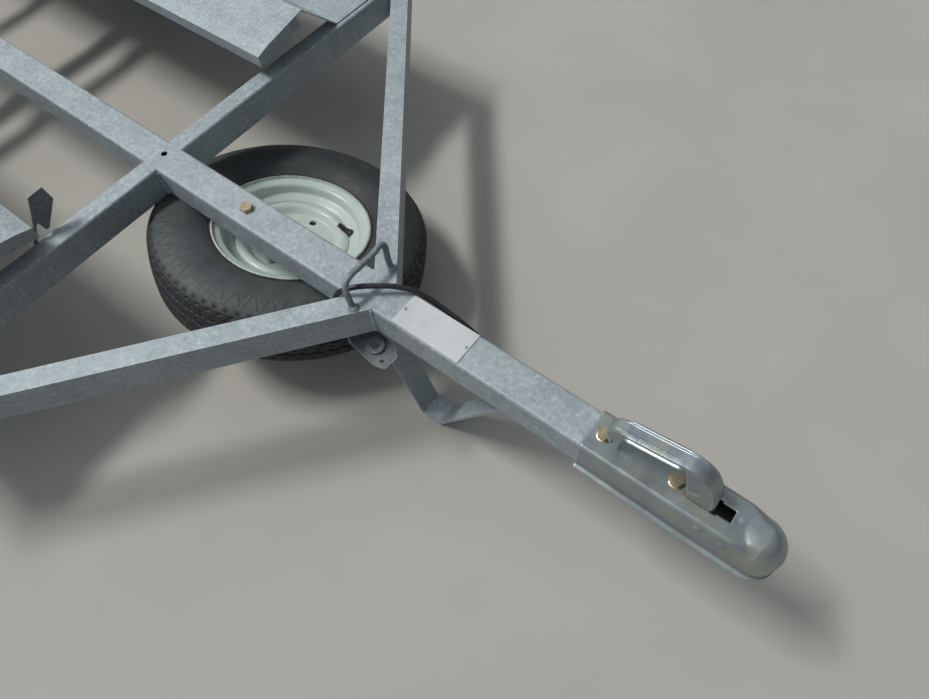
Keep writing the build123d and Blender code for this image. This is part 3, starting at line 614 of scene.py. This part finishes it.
# How far the tread and the rings stand in or out, along the profile's own normal
def tyreRelief(profile, angle):
    run = np.gradient(profile, axis=0)
    normal = np.stack([-run[:, 1], run[:, 0]], 1)
    normal /= np.linalg.norm(normal, axis=1)[:, None] + 1e-12
    normal *= np.sign(np.sum(normal * (profile - np.array([0.19, 0])), axis=1))[:, None]
    radius, height = profile[None, :, 0], profile[None, :, 1] / mm
    turn = angle / (2 * np.pi)
    wave = np.abs(((angle * tyre["zigzagCount"] / (2 * np.pi)) % 1) * 2 - 1) * 2 - 1
    depth = 0 * turn * radius
    for place in tyre["grooves"]:
        away = np.abs(height - place - wave * tyre["zigzag"])
        cut = clamp((tyre["grooveWidth"] - away) / tyre["grooveSide"])
        depth = np.maximum(depth, cut * tyre["grooveDepth"])
    for row, place in enumerate(tyre["pits"]):
        pitTurn = (angle * tyre["pitCount"] / (2 * np.pi) + 0.5 * (row % 2)) % 1 - 0.5
        long = pitTurn * 2 * np.pi * tyre["radius"] / mm / tyre["pitCount"]
        slanted = height - place - tyre["pitSlant"] * long
        away = np.hypot(long / tyre["pitHalf"][0], slanted / tyre["pitHalf"][1])
        depth = np.maximum(depth, clamp((1 - away) / 0.45) * tyre["pitDepth"])
    crownDepth, crownHalf = tyre["crown"]
    high = radius > tyre["radius"] - crownDepth
    low = radius < tyre["radius"] - crownDepth
    depth = np.where(high & (np.abs(height) < crownHalf), depth, 0)
    outside = np.arange(len(profile))[None, :] < len(profile) - tyre["airSide"]
    rings = 0
    for ring, width, rise in tyre["rings"]:
        rings = rings + rise * np.exp(-(((radius / mm - ring) / width) ** 2))
    move = (np.where(outside & low, rings, 0) - depth) * mm
    return move * normal[None, :, 0], move * normal[None, :, 1]


def makeTyre(name, wheel):
    profile, steps = tyreProfile(), tyre["steps"]
    uv = (profile[:, 0], np.linspace(0, 1, steps + 1))
    relief = tyreRelief(profile, circle(steps))
    piece = turnProfile(name + "_rubber", profile, *wheel, steps, relief, uv)
    finishPiece(piece, "tyre", name)


# Each wheel's centre, its axis and the way that its first spoke points
wheels = {
    "left": ((-0.7, 0.77, 0.253), (0, 1, 0), (1, 0, 0)),
    "right": ((-0.7, -0.77, 0.253), (0, -1, 0), (1, 0, 0)),
    "spare": ((0.58718, 0.06093, 0.14841), (0.06105, 0.24991, 0.96634), (0.19347, -0.95275, 0.23418)),
}
for side, wheel in wheels.items():
    makeTyre("tyre_" + side, wheel)
print("tyres turned")

# Coupler body, of sheet. A path runs along its left side, round the nose and back along its
# right side, and at each step a section goes from the rolled lip over the wall to the middle.
coupler = {
    "rear": 1.269,
    "join": 1.422,
    "crease": 1.480,  # the edges stay tight this far, then open into the dome
    "ball": 1.516,
    "top": 0.313,
    "skirt": 0.2495,
    "rearRise": 7 * mm,
    "half": 33.3 * mm,
    "dome": 32.0 * mm,
    "bulge": (4.5 * mm, 27 * mm),
    "corner": 6 * mm,
    "noseCorner": 19 * mm,
    "lip": 6.2 * mm,
    "noseLip": 1.1 * mm,
    "sheet": 2.8 * mm,
    "steps": (48, 30, 15, 34),
    "slot": (1.412, 1.453, 1.472),
    "slotHalf": (13.2 * mm, 11 * mm),
    "bumps": ((1.443, 0.2985, 5.6, 3.2), (1.4765, 0.2935, 5.6, 3.2)),
    "dimple": (1.4781, 3.2 * mm, 1.4 * mm),
}


# Rows of (reach, height) from the lip's outer edge to the middle, one for every path step
def couplerSection(half, corner, lip, skirt):
    top = coupler["top"]
    bend = np.minimum(3.0 * mm, 0.7 * lip)
    edge = np.linspace(1, 0, 5)
    roll = np.linspace(0, np.pi / 2, 6)[1:]
    up = np.linspace(0, 1, 34)[1:]
    arch = np.linspace(0, np.pi / 2, 16)[1:]
    flat, wallTop = half - corner, top - corner
    spread = np.array([0.8, 0.6]) * (flat - 14.2 * mm).clip(0) + 14.2 * mm
    spread = np.minimum(spread, flat * np.array([0.96, 0.9]))
    inner = np.array([14.0, 11.5, 9.0, 6.0, 3.0, 0.0]) * mm
    inner = np.minimum(inner, flat * np.array([0.84, 0.7, 0.56, 0.4, 0.2, 0.0]))
    parts = (
        (half + bend + (lip - bend) * edge, skirt - 0.36 * (lip - bend) * edge**1.4),
        (half + bend - bend * np.sin(roll), skirt + bend * (1 - np.cos(roll))),
        (half + 0 * up, skirt + bend + (wallTop - skirt - bend) * up**0.85),
        (half - corner + corner * np.cos(arch), wallTop + corner * np.sin(arch)),
        (spread, top + 0 * spread),
        (inner, top + 0 * inner),
    )
    return (np.concatenate([part[k] for part in parts], 1) for k in (0, 1))


def makeCoupler():
    slot, rear, ball = coupler["slot"], coupler["rear"], coupler["ball"]
    stops = (rear, *slot, ball)
    runs = [np.linspace(a, b, count)[:-1] for a, b, count in zip(stops, stops[1:], coupler["steps"])]
    straight = np.concatenate(runs)
    turn = np.linspace(np.pi / 2, -np.pi / 2, 73)
    x = np.concatenate([straight, ball + 0 * turn, straight[::-1]])[:, None]
    way = np.concatenate([np.pi / 2 + 0 * straight, turn, -np.pi / 2 + 0 * straight])[:, None]
    grow = clamp((x - coupler["join"]) / (ball - coupler["join"]))
    late = clamp((x - coupler["crease"]) / (ball - coupler["crease"]))
    ease = late**2 * (3 - 2 * late)
    ahead = clamp(np.cos(way))
    half = coupler["half"] + (coupler["dome"] - coupler["half"]) * grow
    corner = coupler["corner"] + (coupler["noseCorner"] - coupler["corner"]) * ease
    corner = corner + (coupler["dome"] - 0.3 * mm - corner) * ahead**0.8
    lip = coupler["lip"] + (coupler["noseLip"] - coupler["lip"]) * ahead
    skirt = coupler["skirt"] + coupler["rearRise"] * (1 - (x - rear) / (ball - rear)).clip(0)
    reach, height = couplerSection(half, corner, lip, skirt)
    points = np.stack([x + reach * np.cos(way), reach * np.sin(way), height], -1)
    onWall = (np.abs(np.cos(way)) < 0.2) & (reach > half * 0.7)
    for bumpX, bumpZ, size, rise in coupler["bumps"]:
        away = np.hypot(points[..., 0] - bumpX, points[..., 2] - bumpZ) / mm
        push = rise * np.sqrt(clamp(1 - (away / size) ** 2)) * mm * onWall
        points[..., 1] += push * np.sign(np.sin(way))
    bulge, bulgeReach = coupler["bulge"]
    away = np.hypot(points[..., 0] - ball, points[..., 1]) / bulgeReach
    points[..., 2] += bulge * clamp(1 - away**2)
    dimpleX, dimpleSize, dimpleDepth = coupler["dimple"]
    away = np.hypot(points[..., 0] - dimpleX, points[..., 1]) / dimpleSize
    points[..., 2] -= dimpleDepth * np.exp(-(away**2)) * (height > coupler["top"] - 2 * mm)
    y = np.minimum(np.abs(points[:-1, :-1, 1]), np.abs(points[1:, :-1, 1]))
    cellX = (points[:-1, :-1, 0] + points[1:, 1:, 0]) / 2
    onTop = points[:-1, :-1, 2] > coupler["top"] - 0.4 * mm
    keep = np.ones(y.shape, bool)
    for k, slotHalf in enumerate(coupler["slotHalf"]):
        keep &= ~(onTop & (cellX > slot[k]) & (cellX < slot[k + 1]) & (y < slotHalf + 0.1 * mm))
    piece = makeSurface("coupler_shell", points, keep=keep, sharp=40)
    thicken(piece, coupler["sheet"])
    finishPiece(piece, "zinc", "coupler_body")


makeCoupler()

# Coupler lever: a pressed channel whose lower edges turn outward along its handle. The crown
# and the lower edge are followed together, with a section from one lip over to the other.
lever = {
    "rear": 1.269,
    "frameTop": 0.310,
    "half": 11.4 * mm,
    "bend": 5.2 * mm,
    "endBend": 6.8 * mm,
    "lip": 4.2 * mm,
    "droop": 0.3,
    "wall": 2.4 * mm,
    "recess": 1.2 * mm,
    "ridge": 0.45 * mm,
    "steps": 240,
    # x, z, half length, half height, rise
    "bumps": ((151, 22, 6.5, 4.2, 2.0), (150, 56, 2.4, 2.4, -0.8)),
    "pairs": (  # crown x, z and lower edge x, z, in mm ahead of the rear edge and above the frame
        (31, 27, 35, 22), (24.5, 31.5, 35.5, 22.5), (21.5, 44, 35, 24), (28.5, 55.5, 39.5, 30),
        (38, 60.5, 43.5, 45), (49, 64, 49.5, 56), (70, 68.2, 70.5, 60.4), (90, 72, 90.5, 64.2),
        (110, 76, 110, 68), (122, 78.8, 121, 70.2), (133, 80, 127.5, 66), (143, 78.5, 131.5, 54),
        (152, 75, 134.3, 44), (160.5, 68, 137.5, 33), (168, 57, 140, 22), (174, 44, 141.6, 13),
        (177, 35, 142.6, 7), (178.5, 20, 143.6, 0), (179, -8, 144, -8),
    ),
}


# A Catmull-Rom line through points, in 12 steps from each to the next
def smoothCurve(points):
    p = np.asarray(points, float)
    p = np.concatenate([2 * p[:1] - p[1:2], p, 2 * p[-1:] - p[-2:-1]])
    t = np.linspace(0, 1, 12, endpoint=False)[None, :, None]
    a, b, c, d = (p[i : len(p) - 3 + i, None, :] for i in range(4))
    bend = (2 * a - 5 * b + 4 * c - d) * t**2 + (3 * b - a - 3 * c + d) * t**3
    curve = 0.5 * (2 * b + (c - a) * t + bend)
    return np.concatenate([curve.reshape(-1, p.shape[1]), p[-2:-1]])


# The same line in steps of even length
def evenCurve(points, steps):
    curve = smoothCurve(points)
    run = np.concatenate([[0], np.cumsum(np.linalg.norm(np.diff(curve, axis=0), axis=1))])
    places = np.linspace(0, run[-1], steps)
    return np.stack([np.interp(places, run, column) for column in curve.T], 1)


def makeLever():
    curve = smoothCurve(lever["pairs"])
    share = np.linspace(0, len(curve) - 1, lever["steps"])
    lines = np.stack([np.interp(share, np.arange(len(curve)), column) for column in curve.T], 1) * mm
    crown, edge = lines[:, :2], lines[:, 2:]
    depth = np.linalg.norm(crown - edge, axis=1, keepdims=True)
    rise = (crown - edge) / depth
    along = crown[:, :1] / mm
    half = lever["half"]
    endness = clamp((along - 21) / 24)
    bend = np.minimum(lever["bend"], 0.55 * depth)
    bend = bend + (lever["endBend"] - bend) * (1 - endness) * (depth > 11 * mm)
    onHandle = clamp((along - 43) / 9) * clamp((131 - along) / 10)
    lip = lever["lip"] * onHandle**0.7
    roll = 0.35 * lip
    edgeOut = np.linspace(1, 0, 4)
    quarter = np.linspace(0, np.pi / 2, 5)[1:]
    wall = np.linspace(0, 1, 26)[1:-1]
    arc = np.linspace(0, np.pi / 2, 34)
    flat = np.linspace(1, 0, 9)[1:]
    bent = bend + lever["ridge"] * np.sin(arc * 14) * clamp((along - 30) / 20)
    parts = (  # outward and upward, each from the lip to the crown's middle
        (half + roll + (lip - roll) * edgeOut, -lever["droop"] * edgeOut * lip),
        (half + roll - roll * np.sin(quarter), roll * (1 - np.cos(quarter))),
        (half + 0 * wall + 0 * along, roll + wall * (depth - bend - roll)),
        (half - bend + bent * np.cos(arc), depth - bend + bent * np.sin(arc)),
        ((half - bend) * flat, depth + 0 * flat),
    )
    out, up = (np.concatenate([part[k] for part in parts], 1) for k in (0, 1))
    inset = clamp((7.6 * mm - out) / (1.8 * mm))
    up = up - lever["recess"] * onHandle * inset**2 * (3 - 2 * inset) * (up > 0.5 * depth)
    x = edge[:, :1] + rise[:, :1] * up
    z = edge[:, 1:] + rise[:, 1:] * up
    for bumpX, bumpZ, long, high, rising in lever["bumps"]:
        away = np.hypot((x / mm - bumpX) / long, (z / mm - bumpZ) / high)
        out = out + rising * mm * np.sqrt(clamp(1 - away**2)) * (out > 8 * mm)
    x, z = (np.concatenate([a, a[:, ::-1][:, 1:]], 1) for a in (lever["rear"] + x, lever["frameTop"] + z))
    out = np.concatenate([out, -out[:, ::-1][:, 1:]], 1)
    piece = makeSurface("lever_shell", np.stack([x, out, z], -1), sharp=50)
    thicken(piece, lever["wall"])
    finishPiece(piece, "zinc", "coupler_handle")


# Latch: an arched plate under the slot and over the ball, lower towards the nose. Its near-black colour
# is painted shade inside the slot.
latch = {"rear": 1.408, "length": 0.084, "half": 0.0285, "height": 0.293, "fall": 6 * mm, "arch": 4 * mm}


def makeLatch():
    ahead = np.linspace(0, 1, 14)[:, None]
    across = np.linspace(-1, 1, 13)[None, :]
    x = latch["rear"] + latch["length"] * ahead + 0 * across
    y = latch["half"] * across + 0 * ahead
    arch = latch["arch"] * (1 - across**2) * np.sin(np.pi * ahead)
    z = latch["height"] - latch["fall"] * ahead**2 + arch
    piece = makeSurface("coupler_latch", np.stack([x, y, z], -1))
    thicken(piece, 4 * mm, 0)
    finishPiece(piece, "zinc", look="painted_slot_shade")


makeLatch()
makeLever()
print("coupler and lever pressed")


# Rods and beads: a round section, with a radius for each step, carried along a smooth line
def makeRod(points, radius, steps, around, up):
    line = evenCurve(points, steps)
    run = np.gradient(line, axis=0)
    run /= np.linalg.norm(run, axis=1)[:, None]
    side = np.cross(run, np.asarray(up, float))
    side /= np.linalg.norm(side, axis=1)[:, None]
    rise = np.cross(side, run)
    angle = circle(around)[None]
    outward = side[:, None] * np.cos(angle) + rise[:, None] * np.sin(angle)
    shape = line[:, None] + radius[:, None, None] * outward
    return makeSurface("rod", shape, closeAcross=True)


# A weld bead: its radius swells and shrinks about every 2.4 mm and runs out at both ends
def makeBead(start, end, out, radius):
    start, end = np.array([start, end], float)
    length = np.linalg.norm(end - start)
    steps = int(length / (0.7 * mm)) + 8
    t = np.linspace(0, 1, steps)
    wobble = np.sin(t * 37 + start[1] * 900) * 0.4 * mm
    line = start + (end - start) * t[:, None] + wobble[:, None] * np.asarray(out, float)
    swell = 1 + 0.13 * np.abs(np.sin(np.pi * t * length / (2.4 * mm)))
    swell = swell * np.sqrt(clamp(1 - np.abs(2 * t - 1) ** 14))
    return makeRod(line, radius * swell, steps, 12, out)


# Frame joints: each member's outline goes on over the spine's rounded edge, with beads beside it
welds = {
    "members": (0.362, -0.470, -0.900, -1.480),
    "memberWidth": 0.038,
    "spineHalf": 0.030,
    "top": 0.310,
    "bottom": 0.250,
    "corner": 5 * mm,
    "mitreCorner": 0.6 * mm,
    "proud": 0.12 * mm,
    "diagonalAtSpine": (0.8564, 0.9011),
    "diagonalAtEnd": (0.6038, 0.6600),
    "beadRadius": 3.2 * mm,
}


# The upper half of a member's outline, carried between two ends
def makeCollar(low, high, corner, ends, alongX):
    quarter = np.linspace(0, np.pi / 2, 8)
    sine, cosine = np.sin(quarter), np.cos(quarter)
    reach, foot = welds["proud"], [welds["top"] - 0.03]
    near, far = low + corner - (corner + reach) * cosine, high - corner + (corner + reach) * sine
    along = np.concatenate([[low - reach], near, far, [high + reach]])
    level = welds["top"] + reach - corner
    up = np.concatenate([foot, level + corner * sine, level + corner * cosine, foot])
    share = np.linspace(0, 1, 7)[:, None]
    grids = (along + 0 * share, up + 0 * share, ends[0] + (ends[1] - ends[0]) * share + 0 * along)
    along, up, across = (np.pad(grid, ((1, 1), (0, 0)), "edge") for grid in grids)
    along[0] = along[-1] = (low + high) / 2
    up[0] = up[-1] = welds["top"] - 0.02
    points = np.stack([along, across, up] if alongX else [across, along, up], -1)
    return makeSurface("collar", points, closeAcross=True, sharp=35)


def makeFrameWelds():
    half, radius = welds["spineHalf"], welds["beadRadius"]
    low, under, high = welds["bottom"] + 1 * mm, welds["bottom"] + 1.2 * mm, welds["top"] - 1 * mm
    width, mitre = welds["memberWidth"], welds["mitreCorner"]
    front = welds["members"][0] + width
    joints = [(rear, rear + width, welds["corner"]) for rear in welds["members"]]
    joints.append((*welds["diagonalAtSpine"], mitre))
    pieces = []
    for side in (1, -1):
        ends = (side * (half - 5.6 * mm), side * (half + 1.5 * mm))
        y = side * (half + 0.4 * mm)
        for rear, ahead, corner in joints:
            pieces.append(makeCollar(rear, ahead, corner, ends, True))
            for x, way in ((rear, -1), (ahead, 1)):
                out = (0.7 * way, 0.7 * side, 0)
                pieces.append(makeBead((x, y, low), (x, y, high - corner), out, radius))
            start, end = (rear + 3 * mm, side * half, under), (ahead - 3 * mm, side * half, under)
            pieces.append(makeBead(start, end, (0, 0.7 * side, -0.7), radius))
        near, far = sorted(side * y for y in welds["diagonalAtEnd"])
        pieces.append(makeCollar(near, far, mitre, (front - 5.6 * mm, front + 1.5 * mm), False))
        x = front + 0.4 * mm
        for y, way in ((near, -1), (far - 1 * mm, 1)):
            out = (0.7, 0.7 * way, 0)
            pieces.append(makeBead((x, y, low), (x, y, high - 1 * mm), out, radius * 0.8))
        start, end = (front, near + 3 * mm, under), (front, far - 3 * mm, under)
        pieces.append(makeBead(start, end, (0.7, 0, -0.7), radius))
    finishPiece(joinPieces("frame_welds", pieces), "galvanised")


makeFrameWelds()

# Rope loop: the rod's middle line, (across, rise) in mm in its leaning plane, and the weld at
# each foot, (radius, height) in mm
loop = {
    "x": 0.879,
    "foot": 0.310,
    "lean": 20.0,
    "rod": 5 * mm,
    "line": (
        (-43.6, -3), (-43.2, 8), (-42, 18), (-40.2, 30), (-36.5, 39), (-30, 44.2), (-16.4, 46.8),
        (7.2, 46), (31.7, 45.8), (42, 47.6), (48.6, 47.2), (52.6, 42), (52, 34), (49, 24.4),
        (46.6, 12.3), (46, -3),
    ),
    "weld": ((0.1, 5.5), (4.6, 5.0), (5.8, 3.0), (7.6, 1.3), (9.2, 0.4), (9.6, -0.4), (0.1, -0.4)),
    "weldY": (-0.0436, 0.046),
}


def makeLoop():
    lean = math.radians(loop["lean"])
    across, rise = np.array(loop["line"]).T * mm
    line = np.stack([loop["x"] - math.sin(lean) * rise, across, loop["foot"] + math.cos(lean) * rise], 1)
    t = np.linspace(0, 1, 120)
    flare = np.exp(-((np.minimum(t, 1 - t) / 0.028) ** 2))
    radius = loop["rod"] * (1 + 0.28 * flare + 0.02 * np.sin(t * 61))
    pieces = [makeRod(line, radius, len(t), 20, (math.cos(lean), 0, math.sin(lean)))]
    profile = np.array(loop["weld"]) * mm
    ripple = 0.5 * mm * np.abs(np.sin(circle(48) * 5)) * (profile[None, :, 0] > 3 * mm)
    for y in loop["weldY"]:
        foot = (loop["x"] + 1 * mm, y, loop["foot"])
        pieces.append(turnProfile("foot", profile, foot, (0, 0, 1), steps=48, wave=(ripple, 0)))
    finishPiece(joinPieces("rope_loop_rod", pieces), "galvanised", "rope_loop")


makeLoop()

# Small pieces. Profiles are (radius, height) in mm, and places on a wheel are a radius in mm,
# degrees and a height in mm.
small = {
    "rivets": ((0.9443, 0.0006, 0.3122), (1.0579, 0.0, 0.3122)),
    "rivet": ((0.05, 1.1), (1.2, 1.0), (2.2, 0.6), (2.7, 0.0), (2.7, -0.6), (0.05, -0.6)),
    "valveEnds": ((106.0, 132.5, 17.0), (88.0, 140.0, 30.0)),
    "valve": (
        (0.05, -3), (8.6, -2.5), (8.8, -0.5), (7.6, 1.0),
        (6.2, 4.0), (5.2, 9.0), (4.3, 11.5), (4.3, 12.5),
    ),
    "couplerBolts": ((1.288, 0.0, 0.3128), (1.394, 0.0, 0.3128)),
    "wheelBolts": [(65.0, 45 + 90 * k, 6.0) for k in range(4)],
    "beadRing": (
        (144.6, 47.2), (145.8, 48.2), (147.4, 47.6), (148.4, 46.2),
        (147.0, 44.0), (144.8, 44.0), (144.6, 47.2),
    ),
}


def onWheel(wheel, radius, degrees, height):
    centre, axis, start = wheel
    side, other, up = frameOf(axis, start)
    angle = math.radians(degrees)
    outward = side * math.cos(angle) + other * math.sin(angle)
    return np.array(centre) + radius * mm * outward + height * mm * up


def makeRivets():
    profile = np.array(small["rivet"]) * mm
    pieces = [turnProfile("rivet", profile, place, (0, 0, 1), steps=24) for place in small["rivets"]]
    finishPiece(joinPieces("label_rivets", pieces), "galvanised")


def makeValve(side, wheel):
    foot, tip = (onWheel(wheel, *end) for end in small["valveEnds"])
    length = np.linalg.norm(tip - foot) / mm
    cap = ((4.9, 12.6), (4.9, length - 1), (4.2, length), (0.05, length))
    profile = np.array((*small["valve"], *cap)) * mm
    valve = turnProfile("valve_" + side, profile, foot, tip - foot, (0.3, 1, 0.2), 28, sharp=40)
    finishPiece(valve, "tyre", look="black_plastic", body=bodyOf["rim_" + side])


# A chamfered six-sided block over a round flange
def makeBoltHead(place, axis, corner, height, flange):
    head = [(0.05, height), (corner * 0.84, height), (corner, height - corner * 0.13)]
    head = np.array([*head, (corner, 1.2), (corner, -0.5), (0.05, -0.5)]) * mm
    ring = np.array([(0.05, 1.2), (flange - 0.6, 1.2), (flange, 0.7), (flange, -0.4), (0.05, -0.4)]) * mm
    block = turnProfile("bolt", head, place, axis, steps=6, sharp=25)
    return [block, turnProfile("bolt", ring, place, axis, steps=40, sharp=40)]


def makeBoltHeads(name, places, axis, *sizes):
    return joinPieces(name, [piece for place in places for piece in makeBoltHead(place, axis, *sizes)])


def makeAllBoltHeads():
    heads = makeBoltHeads("coupler_bolt_heads", small["couplerBolts"], (0, 0, 1), 10.4, 8.2, 11.2)
    finishPiece(heads, "yellow_zinc")
    for side in ("left", "right"):
        places = [onWheel(wheels[side], *spot) for spot in small["wheelBolts"]]
        heads = makeBoltHeads("wheel_bolts_" + side, places, wheels[side][1], 11.0, 10.0, 12.5)
        finishPiece(heads, "galvanised", look="yellow_zinc", body="wheel_" + side)


# A thin, uneven ring of rust and dirt where the tyre meets the flange
def makeBeadRing(side, wheel):
    profile = np.array(small["beadRing"]) * mm
    angle = circle(240)
    uneven = 0.35 * np.sin(angle * 7 + 1) + 0.3 * np.sin(angle * 23) * np.sin(angle * 3)
    uneven = (uneven + 0.25 * np.sin(angle * 61 + 2)) * mm
    ring = turnProfile("bead_" + side, profile, *wheel, 240, (uneven * 0.6, uneven * 0.5))
    finishPiece(ring, "tyre", look="rusty_bead", body=bodyOf["rim_" + side])


# Tail lamps: a rounded black body, and a lens in three ribbed panels
lamp = {
    "body": ((-1.5220, 0.440, 0.1955), (-1.4830, 0.630, 0.3045)),
    "bodyRound": 5 * mm,
    "lensBack": -1.5205,
    "lensDepth": 27.0 * mm,
    "lensY": (0.4425, 0.6275),
    "lensZ": (0.198, 0.302),
    "lensRound": 6 * mm,
    "panels": (0.36, 0.70),
    "panelGroove": (1.1 * mm, 1.4 * mm),
    "ribs": 30,
    "ribDepth": 0.8 * mm,
}


def makeLampBody(side, sign):
    xs, ys, zs = zip(*lamp["body"])
    corners = [(x, sign * y, z) for x in xs for y in ys for z in zs]
    faces = [(0, 1, 3, 2), (4, 6, 7, 5), (0, 4, 5, 1), (2, 3, 7, 6), (0, 2, 6, 4), (1, 5, 7, 3)]
    mesh = bpy.data.meshes.new("lamp_body_" + side)
    mesh.from_pydata(corners, [], faces)
    shell = bmesh.new()
    shell.from_mesh(mesh)
    bmesh.ops.recalc_face_normals(shell, faces=shell.faces)
    rounding = {"offset": lamp["bodyRound"], "segments": 4, "profile": 0.5, "affect": "EDGES"}
    bmesh.ops.bevel(shell, geom=shell.edges[:], **rounding)
    shell.to_mesh(mesh)
    shell.free()
    smoothMesh(mesh, 40)
    finishPiece(addObject("lamp_body_" + side, mesh), "black_plastic")


# The lens has its full depth, less its rounding, grooves and ribs
def makeLens(side, sign):
    t = np.linspace(0, 1, 241)[:, None]
    u = (1 - np.cos(np.pi * t)) / 2 * 0.3 + t * 0.7
    t = np.linspace(0, 1, 45)[None, :]
    v = (1 - np.cos(np.pi * t)) / 2 * 0.5 + t * 0.5
    width, tall = (lamp[k][1] - lamp[k][0] for k in ("lensY", "lensZ"))
    inset = np.minimum(np.minimum(u, 1 - u) * width, np.minimum(v, 1 - v) * tall)
    edge = lamp["lensRound"]
    rounding = edge * (1 - np.sqrt(1 - (1 - clamp(inset / edge)) ** 2))
    grooveWidth, grooveDepth = lamp["panelGroove"]
    groove = 0
    for place in lamp["panels"]:
        groove = groove + grooveDepth * np.exp(-(((u - place) * width / grooveWidth) ** 2))
    wave = np.abs(np.sin(np.pi * u * lamp["ribs"]))
    ribs = lamp["ribDepth"] * wave * clamp(inset / (8 * mm) - 0.6)
    x = lamp["lensBack"] - (lamp["lensDepth"] - rounding - groove - ribs)
    y = sign * (lamp["lensY"][0] + width * u + 0 * v)
    z = lamp["lensZ"][0] + tall * v + 0 * u
    points = np.pad(np.stack([x, y, z], -1), ((1, 1), (1, 1), (0, 0)), "edge")
    points[[0, -1], :, 0] = points[:, [0, -1], 0] = lamp["lensBack"]
    lens = makeSurface("lamp_lens_" + side, points, sharp=50)
    finishPiece(lens, "lamp_lens", "tail_lamp_" + side)


makeAllBoltHeads()
for side, sign in (("left", 1), ("right", -1)):
    makeLampBody(side, sign)
    makeLens(side, sign)
for side, wheel in wheels.items():
    makeBeadRing(side, wheel)
makeRivets()
for side, wheel in wheels.items():
    makeValve(side, wheel)
turned = ("rim_spare", "rim_left", "rim_right", "hub_left", "hub_right")
bent = ("wheel_stop_left", "wheel_stop_right", "mudguard_stays", "mudguard_left", "mudguard_right")
for name in turned + bent:
    smoothCopy(name, 24 if name in ("mudguard_left", "mudguard_right") else 28)
print("small pieces made")

# Stage: a pale plain floor, a long lamp above the right side and a dim fill, more from behind.
# The floor sends back less light than it shows.
stage = {
    "floor": (0.50, 0.475, 0.43),
    "bounce": 0.45,
    "backdrop": (0.80, 0.80, 0.79),
    "floorHalf": 20.0,
    "fill": (0.85, 0.93, 1.0),
    "fillTop": 0.26,
    "fillBack": 0.46,
    "fillFront": 0.05,
    "lampSpot": (-5.86, -3.15, 13.21),
    "lampAim": (0.7, 0.0, 0.1),
    "lampSize": (4.8, 1.5),
    "lampPower": 1200.0,
    "lampColour": (1.0, 0.99, 0.965),
}


def makeFloor():
    half = stage["floorHalf"]
    corners = [(-half, -half, 0), (half, -half, 0), (half, half, 0), (-half, half, 0)]
    mesh = bpy.data.meshes.new("floor")
    mesh.from_pydata(corners, [], [(0, 1, 2, 3)])
    tree, place = startMaterial("floor")[:2]
    noise = tree.noise(place, 2.5, 4.0)
    dark, light, bounce = (tuple(k * c for c in stage["floor"]) for k in (0.95, 1.05, stage["bounce"]))
    bounced = tree.node("LightPath").outputs["Is Diffuse Ray"]
    colour = tree.coat(dark, (tree.remap(noise, 0.3, 0.7), light), (bounced, bounce))
    mesh.materials.append(finishMaterial(tree, colour, tree.remap(noise, 0.0, 1.0, 0.85, 0.95)))
    addObject("floor", mesh)


def makeWorld():
    world = bpy.data.worlds.new("studio")
    world.use_nodes = True
    tree = Tree(world.node_tree, world)
    tree.nodes.clear()
    out = tree.nodes.new("ShaderNodeOutputWorld")
    parts = tree.split(tree.place("Generated"))
    side = tree.plus(parts["X"], tree.times(parts["Y"], 0.45))
    level = tree.remap(side, -0.5, 0.45, stage["fillBack"], stage["fillFront"])
    height = tree.calculate("MAXIMUM", parts["Z"], 0.0)
    strength = tree.calculate("MULTIPLY_ADD", tree.times(height, height), stage["fillTop"], level)
    lit = tree.node("Background", {"Color": stage["fill"], "Strength": strength}).outputs[0]
    seen = tree.node("Background", {"Color": stage["backdrop"], "Strength": 1.0}).outputs[0]
    fromCamera = tree.node("LightPath").outputs["Is Camera Ray"]
    mix = tree.node("MixShader", {0: fromCamera, 1: lit, 2: seen})
    tree.put(out.inputs["Surface"], mix.outputs[0])
    scene.world = world


def makeLamp():
    data = bpy.data.lights.new("key", "AREA")
    data.shape = "RECTANGLE"
    data.size, data.size_y = stage["lampSize"]
    data.energy = stage["lampPower"]
    data.color = stage["lampColour"]
    spot = Vector(stage["lampSpot"])
    turn = (Vector(stage["lampAim"]) - spot).to_track_quat("-Z", "Y")  # its long side lies along X
    addObject("key", data).matrix_world = Matrix.Translation(spot) @ turn.to_matrix().to_4x4()


makeFloor()
makeWorld()
makeLamp()
scene.view_settings.view_transform = "Standard"
print("stage set")
